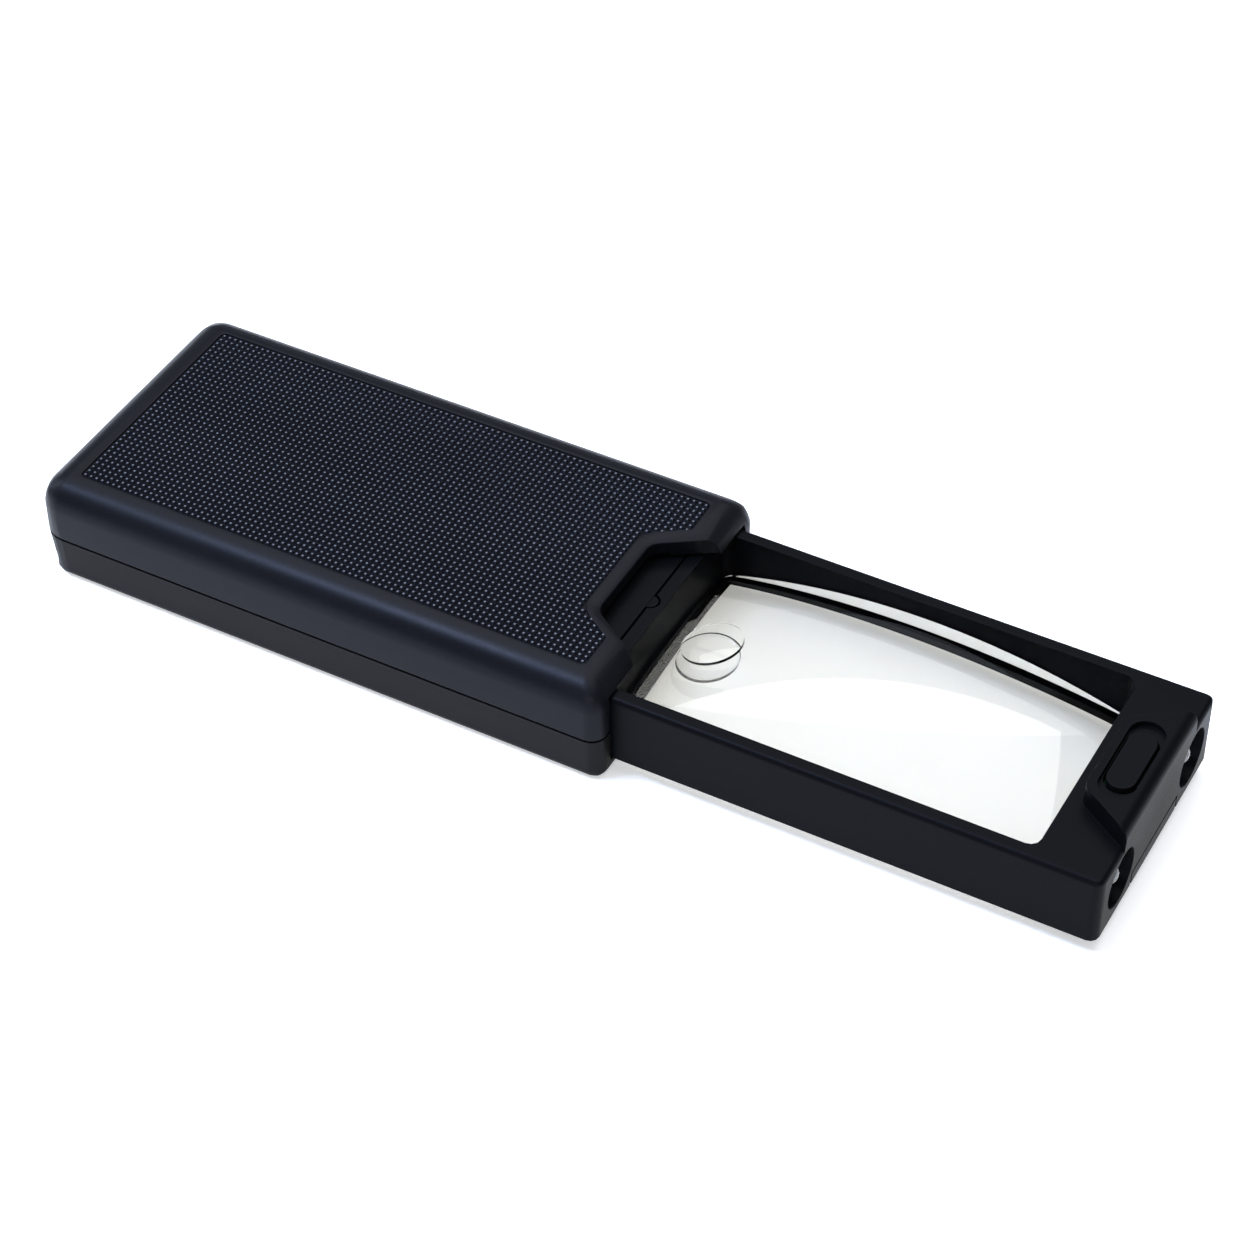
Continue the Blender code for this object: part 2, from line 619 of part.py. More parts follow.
def board_outline(grow):
    """The circuit board in plan: it follows the platform, inside its wall."""
    inset = PLATFORM_CLEARANCE + PLATFORM_SIDE_SLOPE + PLATFORM_SKIN + FIT
    back_inset = PLATFORM_CLEARANCE + PLATFORM_BACK_SLOPE + PLATFORM_SKIN + FIT
    return notch_outline(grow - inset, grow - back_inset, grow - END_SKIN - PLATFORM_END_ROUND / 2)


def rear_screw_places():
    return [(f"rear_screw_{index + 1}", REAR_SCREW_X, side * REAR_SCREW_HALF_SPACING)
            for index, side in enumerate((-1, 1))]


def front_screw_places():
    return [(f"front_screw_{index + 1}", -FRONT_SCREW_INSET, side * FRONT_SCREW_HALF_SPACING)
            for index, side in enumerate((-1, 1))]


def screw_hole(name, x, y):
    """A blind hole for a base screw, from the drawer's underside to a gap past the screw's tip."""
    return cylinder(name, SCREW_RADIUS + HOLE_CLEARANCE, (x, y, DRAWER_BOTTOM),
                    (x, y, DRAWER_BOTTOM + SCREW_LENGTH + FIT), drawer, segments=12)


def make_lens():
    """Flat flange, a domed optic cut square, and the strong spot lens let into it."""
    optic_rear = WINDOW_REAR + WINDOW_REAR_DRAFT + FIT
    optic_front = WINDOW_FRONT - FIT - CONTACT_GAP
    half_x = (optic_front - optic_rear) / 2
    half_y = WINDOW_HALF - FIT
    middle_x = (optic_front + optic_rear) / 2
    corner = math.hypot(half_x, half_y)
    radius_of_dome = (corner ** 2 + LENS_CROWN ** 2) / (2 * LENS_CROWN)
    dome_centre = LENS_BOTTOM + LENS_CORNER_THICKNESS + LENS_CROWN - radius_of_dome
    lens = box("magnifier_lens", (POCKET_REAR + FIT, WINDOW_FRONT - FIT),
               (FIT - POCKET_HALF, POCKET_HALF - FIT), (LENS_BOTTOM, FLANGE_TOP), drawer, lens_glass)

    rings = 9
    reach = corner + CUT_REACH
    profile = []
    for index in range(rings + 1):
        radius = reach * index / rings
        profile.append((radius, math.sqrt(radius_of_dome ** 2 - radius ** 2)))
    root = LENS_BOTTOM + FLANGE_THICKNESS / 2
    profile += [(reach, root - dome_centre), (0, root - dome_centre)]
    dome = turned("dome", profile, 64, drawer, None, (middle_x, 0, dome_centre))
    optic = loft("optic", rounded_rectangle(optic_rear, optic_front, half_y, WINDOW_CORNER),
                 rounded_rectangle(optic_rear, optic_front, half_y, WINDOW_CORNER),
                 LENS_BOTTOM, DRAWER_TOP + CUT_REACH, drawer)
    combine(dome, optic, 'INTERSECT')

    rim = math.sqrt(radius_of_dome ** 2 - SPOT_RADIUS ** 2) + SPOT_RISE
    rim_sag = math.sqrt(SPOT_TOP_RADIUS ** 2 - SPOT_RADIUS ** 2)
    spot_rings = 4
    spot_profile = []
    for index in range(spot_rings + 1):
        radius = SPOT_RADIUS * index / spot_rings
        spot_profile.append((radius, rim - rim_sag + math.sqrt(SPOT_TOP_RADIUS ** 2 - radius ** 2)))
    spot_profile += [(SPOT_RADIUS, rim - SPOT_ROOT), (0, rim - SPOT_ROOT)]
    tilt = math.asin((SPOT_X - middle_x) / radius_of_dome)
    spot = turned("spot", spot_profile, 48, drawer, None, (middle_x, 0, dome_centre), tilt)
    spot_foot = cylinder("spot_foot", SPOT_RADIUS, (SPOT_X, 0, LENS_BOTTOM - SPOT_DROP), (SPOT_X, 0, root),
                         drawer, segments=48)
    join(lens, dome, spot, spot_foot)
    shade_round(lens, math.radians(20))


def make_rear_slide():
    slide = box("rear_slide", (SLIDE_REAR, SHOULDER_FRONT), (-SHOULDER_HALF, SHOULDER_HALF),
                (DRAWER_BOTTOM, DRAWER_TOP), drawer, black_plastic)
    neck = box("slide_neck", (SHOULDER_FRONT - CUT_REACH, SLIDE_FRONT), (-DRAWER_HALF, DRAWER_HALF),
               (DRAWER_BOTTOM, DRAWER_TOP), drawer)
    below = DRAWER_BOTTOM - CUT_REACH
    ceiling = DRAWER_TOP - REAR_SLIDE_WALL
    hollow = box("slide_hollow", (SLIDE_REAR + REAR_SLIDE_WALL, SLIDE_FRONT - REAR_SLIDE_WALL),
                 (REAR_SLIDE_WALL - DRAWER_HALF, DRAWER_HALF - REAR_SLIDE_WALL), (below, ceiling), drawer)
    base_rebate = box("slide_base_rebate", (BASE_REAR - FIT, SLIDE_FRONT + CUT_REACH),
                      (-POCKET_HALF, POCKET_HALF), (below, BASE_TOP + FIT), drawer)
    tongue = box("tongue", (SLIDE_FRONT - REAR_SLIDE_WALL / 2, FRAME_REAR + TONGUE_LENGTH),
                 (-TONGUE_HALF_WIDTH, TONGUE_HALF_WIDTH),
                 (TONGUE_BOTTOM, TONGUE_BOTTOM + TONGUE_THICKNESS), drawer)
    nib = cylinder("nib", NIB_RADIUS, (SLIDE_FRONT, 0, ceiling + CONTACT_GAP),
                   (SLIDE_FRONT, 0, DRAWER_TOP - CONTACT_GAP), drawer, segments=24)
    join(slide, neck)
    cut(slide, hollow, base_rebate)
    join(slide, tongue, nib)
    for name, x, y in rear_screw_places():
        join(slide, cylinder(f"{name}_boss", SCREW_BOSS_RADIUS, (x, y, BASE_TOP + FIT), (x, y, ceiling + FIT),
                             drawer, segments=24))
        cut(slide, screw_hole(f"{name}_pilot", x, y))


def make_base():
    base = box("drawer_base", (BASE_REAR, CHAMBER_FRONT - FIT), (FIT - POCKET_HALF, POCKET_HALF - FIT),
               (DRAWER_BOTTOM, BASE_TOP), drawer, black_plastic)
    below = DRAWER_BOTTOM - CUT_REACH
    above = BASE_TOP + CUT_REACH
    window_half = WINDOW_HALF - BASE_RIM
    cut(base, box("base_window", (WINDOW_REAR + BASE_RIM, WINDOW_FRONT - BASE_RIM),
                  (-window_half, window_half), (below, above), drawer))
    cut(base, box("base_door_gap", (BAY_REAR - FIT, CUT_REACH), (-DOOR_GAP_HALF, DOOR_GAP_HALF),
                  (below, above), drawer))
    cut(base, box("base_rail_rebate", (BAY_REAR - FIT, CUT_REACH), (-RAIL_GAP_HALF, RAIL_GAP_HALF),
                  (DOOR_TOP - DOOR_RAIL_THICKNESS - FIT, above), drawer))
    head_top = DRAWER_BOTTOM + SCREW_HEAD_HEIGHT + HOLE_CLEARANCE
    for name, x, y in rear_screw_places() + front_screw_places():
        cut(base, cylinder(f"{name}_hole", SCREW_RADIUS + HOLE_CLEARANCE, (x, y, below), (x, y, above),
                           drawer, segments=12))
        cut(base, cylinder(f"{name}_head_recess", SCREW_HEAD_RADIUS + HOLE_CLEARANCE, (x, y, below),
                           (x, y, head_top), drawer, segments=20))


def make_screws():
    profile = [(0, SCREW_LENGTH), (SCREW_RADIUS, SCREW_LENGTH - SCREW_RADIUS),
               (SCREW_RADIUS, SCREW_HEAD_HEIGHT), (SCREW_HEAD_RADIUS, SCREW_HEAD_HEIGHT),
               (SCREW_HEAD_RADIUS, 0), (0, 0)]
    for index, (place, x, y) in enumerate(rear_screw_places() + front_screw_places()):
        turned(f"base_screw_{index + 1}", profile, 12, drawer, steel, (x, y, DRAWER_BOTTOM))


def make_cells():
    pitch = CELL_THICKNESS + CONTACT_GAP
    for index in range(CELL_COUNT):
        y = (index - (CELL_COUNT - 1) / 2) * pitch
        cell = cylinder(f"button_cell_{index + 1}", CELL_RADIUS, (CELL_X, y - CELL_THICKNESS / 2, CELL_AXIS),
                        (CELL_X, y + CELL_THICKNESS / 2, CELL_AXIS), drawer, steel, segments=28)
        round_edges(cell, lambda middle, run: FIT if abs(run.y) < 0.5 else 0.0, 1)


def make_contacts():
    stack = CELL_COUNT * CELL_THICKNESS + (CELL_COUNT - 1) * CONTACT_GAP
    plate_top = CELL_AXIS + CONTACT_HEIGHT / 2
    tab_x = -CONTACT_TAB_FROM_END
    for name, side, gap in (("positive_contact", 1, CONTACT_GAP), ("negative_contact", -1, FIT)):
        inner = side * (stack / 2 + gap)
        outer = inner + side * CONTACT_THICKNESS
        thickness = sorted((inner, outer))
        plate = box(name, (CELL_X - CONTACT_LENGTH / 2, CELL_X + CONTACT_LENGTH / 2), thickness,
                    (CELL_AXIS - CONTACT_HEIGHT / 2, plate_top), drawer, steel)
        tab = box(f"{name}_tab", (tab_x - CONTACT_TAB_WIDTH / 2, tab_x + CONTACT_TAB_WIDTH / 2), thickness,
                  (plate_top - CUT_REACH, BOARD_BOTTOM - CONTACT_GAP), drawer)
        join(plate, tab)
        if side < 0:
            join(plate, cylinder("contact_dimple", CONTACT_DIMPLE_RADIUS,
                                 (CELL_X, inner - CONTACT_THICKNESS / 2, CELL_AXIS),
                                 (CELL_X, inner + FIT - CONTACT_GAP, CELL_AXIS), drawer, segments=16))


def make_door():
    """A plate that slides out along X: side rails behind, full width and a lip in front."""
    door = box("battery_door", (BAY_REAR, 0), (-DOOR_HALF_WIDTH, DOOR_HALF_WIDTH), (DRAWER_BOTTOM, DOOR_TOP),
               battery_door_slide, black_plastic)
    front = box("door_front", (CHAMBER_FRONT, 0), (-RAIL_HALF, RAIL_HALF), (DRAWER_BOTTOM, DOOR_TOP),
                battery_door_slide)
    lip = box("door_lip", (-END_SKIN, 0), (-RAIL_HALF, RAIL_HALF),
              (DRAWER_BOTTOM, DRAWER_BOTTOM + DOOR_LIP_HEIGHT), battery_door_slide)
    rail = box("door_rail", (BAY_REAR + FIT, CHAMBER_FRONT + FIT), (-RAIL_HALF, RAIL_HALF),
               (DOOR_TOP - DOOR_RAIL_THICKNESS, DOOR_TOP - CONTACT_GAP), battery_door_slide)
    join(door, front, lip, rail)


def make_leds():
    for side, word in ((-1, "near"), (1, "far")):
        y = side * LED_HALF_SPACING
        tip = -LED_SET_BACK
        flange_front = CHAMBER_FRONT - FIT
        flange_back = flange_front - LED_FLANGE_THICKNESS
        dome = [(0, tip)]
        for x, radius in arc((0, 0), LED_RADIUS, 0, 90, 5)[1:]:
            dome.append((radius, tip - LED_RADIUS + x))
        profile = dome + [(LED_RADIUS, flange_front), (LED_FLANGE_RADIUS, flange_front),
                          (LED_FLANGE_RADIUS, flange_back), (0, flange_back)]
        turned(f"{word}_led", profile, 20, drawer, led_clear, (0, y, LED_HEIGHT), math.pi / 2)
        for index, turn in enumerate((-1, 1)):
            make_lead(f"{word}_led_lead_{index + 1}", side, turn, flange_back - FIT)


def make_lead(name, side, turn, start_x):
    """A round wire from the back of an LED, up, and in over the cells to the board's underside."""
    y = side * LED_HALF_SPACING + turn * LEAD_HALF_SPACING
    bend_x = start_x - LEAD_RADIUS - (turn + 1) / 2 * (2 * LEAD_RADIUS + CONTACT_GAP)
    end_y = side * (BAY_HALF_WIDTH - LEAD_RADIUS - CONTACT_GAP)
    route = [(start_x, y, LED_HEIGHT), (bend_x, y, LED_HEIGHT), (bend_x, y, LEAD_LEVEL),
             (bend_x, end_y, LEAD_LEVEL), (bend_x, end_y, BOARD_BOTTOM - CONTACT_GAP)]
    wire = bpy.data.curves.new(name, 'CURVE')
    wire.dimensions = '3D'
    spline = wire.splines.new('POLY')
    spline.points.add(len(route) - 1)
    for point, place in zip(spline.points, route):
        point.co = (*place, 1)
    wire.bevel_depth = LEAD_RADIUS
    wire.bevel_resolution = 1
    wire.use_fill_caps = True
    wire.materials.append(steel)
    item = bpy.data.objects.new(name, wire)
    item.parent = drawer
    parts.objects.link(item)
    weld = item.modifiers.new("caps", 'WELD')
    weld.merge_threshold = 0.00001


def make_switch():
    board = loft("circuit_board", board_outline(0.0), board_outline(0.0), BOARD_BOTTOM, BOARD_TOP,
                 drawer, board_green)
    shade_round(board)
    half = SWITCH_WIDTH / 2
    body = box("switch_body", (-BUTTON_FROM_END - half, half - BUTTON_FROM_END), (-half, half),
               (SWITCH_BOTTOM, SWITCH_TOP), drawer, steel)
    cut(body, cylinder("switch_bore", SWITCH_BORE_RADIUS, (-BUTTON_FROM_END, 0, SWITCH_BOTTOM - FIT),
                       (-BUTTON_FROM_END, 0, SWITCH_TOP + FIT), drawer, segments=16))
    cylinder("switch_plunger", PLUNGER_RADIUS, (0, 0, PLUNGER_BOTTOM), (0, 0, PLUNGER_TOP),
             switch_plunger_slide, black_plastic, segments=12)
    resistor_y = SWITCH_WIDTH
    box("resistor", (-BUTTON_FROM_END - RESISTOR_SIZE.x / 2, RESISTOR_SIZE.x / 2 - BUTTON_FROM_END),
        (resistor_y - RESISTOR_SIZE.y / 2, resistor_y + RESISTOR_SIZE.y / 2),
        (SWITCH_BOTTOM, SWITCH_BOTTOM + RESISTOR_SIZE.z), drawer, black_plastic)


def make_button():
    """The crown, and the flange under the platform that keeps it in; the middle clears the switch."""
    button = stadium("push_button", BUTTON_LENGTH, BUTTON_WIDTH, 0, (BUTTON_FLANGE_BOTTOM, BUTTON_TOP),
                     push_button_slide, black_plastic)
    flange = stadium("button_flange", BUTTON_FLANGE_LENGTH, BUTTON_WIDTH - 2 * CONTACT_GAP, 0,
                     (BUTTON_FLANGE_BOTTOM + CONTACT_GAP, BUTTON_FLANGE_TOP), push_button_slide)
    clear_half = BUTTON_LENGTH / 2 - BUTTON_WIDTH / 4
    relief = box("button_relief", (-BUTTON_WIDTH, BUTTON_WIDTH), (-clear_half, clear_half),
                 (BUTTON_FLANGE_BOTTOM - CUT_REACH, BUTTON_BOTTOM), push_button_slide)
    join(button, flange)
    cut(button, relief)


clear_scene()
parts = new_collection("pocket_magnifier")
cutters = new_collection("cutters")

black_plastic = new_material("black_plastic", (0.012, 0.012, 0.014), 0.42)
lens_glass = new_material("lens_acrylic", (0.96, 0.97, 0.95), 0.02, transmission=1.0)
led_clear = new_material("led_epoxy", (0.95, 0.96, 0.97), 0.05, transmission=1.0)
steel = new_material("steel", (0.62, 0.62, 0.64), 0.3, metallic=1.0)
board_green = new_material("circuit_board", (0.02, 0.16, 0.07), 0.5)

case = new_empty("case_mouth", MOUTH_X)
drawer = new_empty("drawer_end_face", END_FACE_X)
battery_door_slide = new_empty("battery_door_slide", END_FACE_X)
push_button_slide = new_empty("push_button_slide", END_FACE_X - BUTTON_FROM_END)
switch_plunger_slide = new_empty("switch_plunger_slide", END_FACE_X - BUTTON_FROM_END)

make_case_bottom()
make_case_top()
make_lens_frame()
make_lens()
make_rear_slide()
make_base()
make_screws()
make_cells()
make_contacts()
make_door()
make_leds()
make_switch()
make_button()
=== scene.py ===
import math

import bmesh
import bpy
from mathutils import Matrix, Vector


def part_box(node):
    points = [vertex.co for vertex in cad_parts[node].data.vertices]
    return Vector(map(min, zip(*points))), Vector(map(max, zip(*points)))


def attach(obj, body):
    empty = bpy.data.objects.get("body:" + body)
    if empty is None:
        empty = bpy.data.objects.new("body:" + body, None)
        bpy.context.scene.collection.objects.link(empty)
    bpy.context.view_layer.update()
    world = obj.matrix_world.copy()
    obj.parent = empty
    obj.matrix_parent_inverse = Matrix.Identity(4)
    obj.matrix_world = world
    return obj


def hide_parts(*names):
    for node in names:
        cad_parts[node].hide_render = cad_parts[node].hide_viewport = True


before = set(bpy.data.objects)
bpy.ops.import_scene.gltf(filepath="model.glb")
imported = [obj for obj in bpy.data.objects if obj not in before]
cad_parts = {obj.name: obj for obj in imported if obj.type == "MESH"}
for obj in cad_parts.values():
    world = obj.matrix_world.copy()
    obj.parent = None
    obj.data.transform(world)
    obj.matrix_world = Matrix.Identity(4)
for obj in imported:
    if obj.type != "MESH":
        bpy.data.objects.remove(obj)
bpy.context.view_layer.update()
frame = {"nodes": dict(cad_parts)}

bl_info = {
    "name": "Slide-out lighted magnifier",
    "version": (1, 0, 0),
    "blender": (4, 5, 0),
    "location": "View3D > Sidebar > Magnifier",
    "description": "Detailed pieces and finishes for a slide-out lighted pocket magnifier",
    "category": "Object",
}

CASE_LOW, CASE_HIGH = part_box("case_top_shell")
LENS_LOW, LENS_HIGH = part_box("magnifier_lens")
END_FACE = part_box("lens_frame")[1].x
MOUTH = CASE_HIGH.x

# Sizes are in metres, angles in degrees and the camera's lens in millimetres.
FIT = 0.0003
CONTACT_GAP = 0.0001
OVERREACH = 0.002
MERGE = 1e-6
SPIN_MERGE = 2e-6
FLAT_ANGLE = 0.4
SHARP_ANGLE = 30.0
QUARTER_STEPS = 12

# Thumb notch with its dished border, in plan
NOTCH_DEPTH = 0.0080
NOTCH_BORDER = 0.0018
NOTCH_MOUTH_HALF = 0.0137
NOTCH_BACK_HALF = 0.0077
NOTCH_CORNER = 0.0026

# Grip panel; the slope, whole cell and start of the painted highlight on the tips are shares of the pitch, a
# cell's area and the height
GRIP_REAR_BORDER = 0.0050
GRIP_MOUTH_BORDER = 0.0044
GRIP_SIDE_BORDER = 0.0044
GRIP_RECESS = 0.00035
GRIP_BACKING = 0.0002
GRIP_SLOPE = 0.36
GRIP_WHOLE_CELL = 0.6
GRIP_HIGHLIGHT_START = 0.9
# Painted highlight: the pyramid tips are coloured lighter and bluish to stand in for the light they catch
GRIP_TIP_HIGHLIGHT_COLOUR = (0.060, 0.066, 0.086)

# Rounding of single pieces
FRAME_SOFTNESS = 0.0001
BUTTON_SOFTNESS = 0.00028
CHIP_SOFTNESS = 0.00004
SCREW_SOFTNESS = 0.00006

# Window and lens
END_BLOCK_LENGTH = 0.0094
WINDOW_LENGTH = 0.0586
WINDOW_REAR_DRAFT = 0.0006
FLANGE_WIDTH = 0.0006
FLANGE_THICKNESS = 0.0014
LENS_CORNER_THICKNESS = 0.0017
OPTIC_CORNER = 0.0012
DOME_MARGIN = 0.001
DOME_RINGS = 40
SPOT_FROM_WINDOW_REAR = 0.0070
SPOT_RIM_RISE = 0.0004
SPOT_TOP_RADIUS = 0.020
SPOT_ROOT = 0.0020
SPOT_RINGS = 16
SPOT_DROP = 0.0009
SPOT_FOOT_ROOT = 0.0007
SPOT_BELLY = 0.00045

# LEDs, lengths along them measured from the flange's back
LED_RADIUS = 0.0015
LED_FLANGE_THICKNESS = 0.0010
LED_FLANGE_CHAMFER = 0.0001
CUP_OUTLINE = ((0, 0.0004), (0.00035, 0.0004), (0.00035, 0.0015), (0.00075, 0.0021),
               (0.00068, 0.00215), (0.0003, 0.0017), (0, 0.0017))
CHIP_BACK = 0.0017
CHIP_FRONT = 0.0019
CHIP_HALF = 0.00022

# Screws
SCREW_COUNT = 4
SLOT_HALF_LENGTH = 0.0007
SLOT_HALF_WIDTH = 0.00014
SLOT_DEPTH = 0.00035

# Stage
FLOOR_DROP = 0.0001
CAMERA_AZIMUTH = 29.96
CAMERA_ELEVATION = 43.01
CAMERA_ROLL = -1.117
CAMERA_TARGET = (-0.0071, 0, 0.0043)
CAMERA_DISTANCE = 0.4428
CAMERA_LENS = 97.59
CAMERA_SHIFT = (0.0463, -0.0054)


# ---------------------------------------------------------------- properties

class MagnifierSizes(bpy.types.PropertyGroup):
    edge_softness: bpy.props.FloatProperty(
        name="Edge softness", description="Rounding of the moulded edges",
        default=0.00016, min=0.0, max=0.0005, unit='LENGTH', precision=5)
    grip_pitch: bpy.props.FloatProperty(
        name="Grip pitch", description="Distance between the small pyramids of the grip panel",
        default=0.0009, min=0.0005, max=0.003, unit='LENGTH', precision=5)
    grip_height: bpy.props.FloatProperty(
        name="Grip height", description="Height of the small pyramids of the grip panel",
        default=0.00031, min=0.0001, max=0.00033, unit='LENGTH', precision=5)
    dome_crown: bpy.props.FloatProperty(
        name="Dome crown", description="Rise of the main lens's domed top above its corners",
        default=0.0060, min=0.001, max=0.0065, unit='LENGTH', precision=5)
    spot_radius: bpy.props.FloatProperty(
        name="Spot lens radius", description="Radius in plan of the strong round lens",
        default=0.00415, min=0.002, max=0.006, unit='LENGTH', precision=5)
    floor_size: bpy.props.FloatProperty(
        name="Floor size", description="Side of the square studio floor",
        default=6.0, min=1.0, max=20.0, unit='LENGTH')


class MagnifierColours(bpy.types.PropertyGroup):
    case: bpy.props.FloatVectorProperty(
        name="Case plastic", description="Base colour of the case's upper shell",
        subtype='COLOR', size=3, min=0.0, max=1.0, default=(0.0030, 0.0032, 0.0044))
    tray: bpy.props.FloatVectorProperty(
        name="Lower shell plastic", description="Base colour of the case's lower shell",
        subtype='COLOR', size=3, min=0.0, max=1.0, default=(0.0046, 0.0043, 0.0041))
    drawer: bpy.props.FloatVectorProperty(
        name="Drawer plastic", description="Base colour of the drawer's frame",
        subtype='COLOR', size=3, min=0.0, max=1.0, default=(0.0015, 0.0016, 0.0021))
    button: bpy.props.FloatVectorProperty(
        name="Button plastic", description="Base colour of the push button",
        subtype='COLOR', size=3, min=0.0, max=1.0, default=(0.0030, 0.0030, 0.0034))
    acrylic: bpy.props.FloatVectorProperty(
        name="Lens acrylic", description="Tint of the clear lens",
        subtype='COLOR', size=3, min=0.0, max=1.0, default=(0.775, 0.765, 0.715))
    floor: bpy.props.FloatVectorProperty(
        name="Floor", description="Colour of the studio floor",
        subtype='COLOR', size=3, min=0.0, max=1.0, default=(0.93, 0.93, 0.93))


# ---------------------------------------------------------------- modelling by hand

def rest():
    """Object mode, with nothing selected."""
    if bpy.context.object and bpy.context.object.mode != 'OBJECT':
        bpy.ops.object.mode_set(mode='OBJECT')
    bpy.ops.object.select_all(action='DESELECT')


def pick(piece):
    rest()
    piece.select_set(True)
    bpy.context.view_layer.objects.active = piece


def edit(piece, mode='EDGE'):
    pick(piece)
    bpy.ops.object.mode_set(mode='EDIT')
    bpy.ops.mesh.select_mode(type=mode)
    bpy.ops.mesh.select_all(action='DESELECT')


def named(name):
    piece = bpy.context.object
    piece.name = name
    piece.data.name = name
    bpy.ops.object.transform_apply(location=True, rotation=True, scale=True)
    return piece


def block(name, low, high):
    """A cuboid between two corners."""
    rest()
    low = Vector(low)
    high = Vector(high)
    bpy.ops.mesh.primitive_cube_add(size=1, location=(low + high) / 2)
    bpy.context.object.scale = high - low
    return named(name)


def pick_edges(piece, wanted):
    """Selects, in edit mode, the edges that a test of their middle and direction asks for."""
    edit(piece)
    mesh = bmesh.from_edit_mesh(piece.data)
    for edge in mesh.edges:
        first, second = (corner.co for corner in edge.verts)
        if wanted((first + second) / 2, (second - first).normalized()):
            edge.select = True
    bmesh.update_edit_mesh(piece.data)


def round_off(piece, wanted, radius, steps):
    pick_edges(piece, wanted)
    bpy.ops.mesh.bevel(offset=radius, segments=steps, affect='EDGES')
    bpy.ops.object.mode_set(mode='OBJECT')


def carve(piece, tool, way='DIFFERENCE'):
    """Takes the tool away from the piece, adds it, or keeps only what they share."""
    carving = piece.modifiers.new("carving", 'BOOLEAN')
    carving.operation = way
    carving.solver = 'EXACT'
    carving.object = tool
    pick(piece)
    bpy.ops.object.modifier_apply(modifier=carving.name)
    bpy.data.objects.remove(tool, do_unlink=True)


def turn_round(name, profile, axis_start, axis, steps):
    """A solid spun in edit mode from a profile of (distance from the axis, distance along it)."""
    rest()
    axis = Vector(axis).normalized()
    side = axis.orthogonal().normalized()
    mesh = bpy.data.meshes.new(name)
    points = [Vector(axis_start) + side * out + axis * along for out, along in profile]
    mesh.from_pydata(points, [(i, i + 1) for i in range(len(points) - 1)], [])
    piece = bpy.data.objects.new(name, mesh)
    bpy.context.scene.collection.objects.link(piece)
    edit(piece, 'VERT')
    bpy.ops.mesh.select_all(action='SELECT')
    bpy.ops.mesh.spin(steps=steps, angle=math.tau, center=axis_start, axis=axis)
    bpy.ops.mesh.select_all(action='SELECT')
    bpy.ops.mesh.remove_doubles(threshold=SPIN_MERGE)
    bpy.ops.mesh.normals_make_consistent(inside=False)
    bpy.ops.object.mode_set(mode='OBJECT')
    return piece


def quarter_turn():
    """The angles of a quarter turn, in radians."""
    return [step * math.pi / (2 * QUARTER_STEPS) for step in range(QUARTER_STEPS + 1)]


def traced(node, name, softness, steps=2, clamp=True):
    """A piece on a CAD solid's form, with flats joined and hard edges rounded unless softness is 0."""
    piece = bpy.data.objects.new(name, frame["nodes"][node].data.copy())
    piece.data.name = name
    bpy.context.scene.collection.objects.link(piece)
    edit(piece, 'VERT')
    bpy.ops.mesh.select_all(action='SELECT')
    bpy.ops.mesh.customdata_custom_splitnormals_clear()
    bpy.ops.mesh.remove_doubles(threshold=MERGE)
    if softness > 0:
        bpy.ops.mesh.dissolve_limited(angle_limit=math.radians(FLAT_ANGLE))
        bpy.ops.object.mode_set(mode='OBJECT')
        soften(piece, softness, steps, clamp)
    settle_normals(piece)
    return piece


def soften(piece, softness, steps=2, clamp=True):
    rounding = piece.modifiers.new("rounding", 'BEVEL')
    rounding.width = softness
    rounding.segments = steps
    rounding.limit_method = 'ANGLE'
    rounding.angle_limit = math.radians(SHARP_ANGLE)
    rounding.use_clamp_overlap = clamp
    rounding.harden_normals = False
    pick(piece)
    bpy.ops.object.modifier_apply(modifier=rounding.name)


def settle_normals(piece, sharp=SHARP_ANGLE):
    """Smooth curves beside flats that stay flat."""
    pick(piece)
    bpy.ops.object.shade_smooth_by_angle(angle=math.radians(sharp))
    flats = piece.modifiers.new("flats", 'WEIGHTED_NORMAL')
    flats.keep_sharp = True
    flats.weight = 80
    bpy.ops.object.modifier_apply(modifier=flats.name)


def finish_piece(piece, look, body, slot, *nodes):
    piece.data.materials.clear()
    piece.data.materials.append(look)
    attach(piece, body)
    if nodes:
        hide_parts(*nodes)


# ---------------------------------------------------------------- finishes

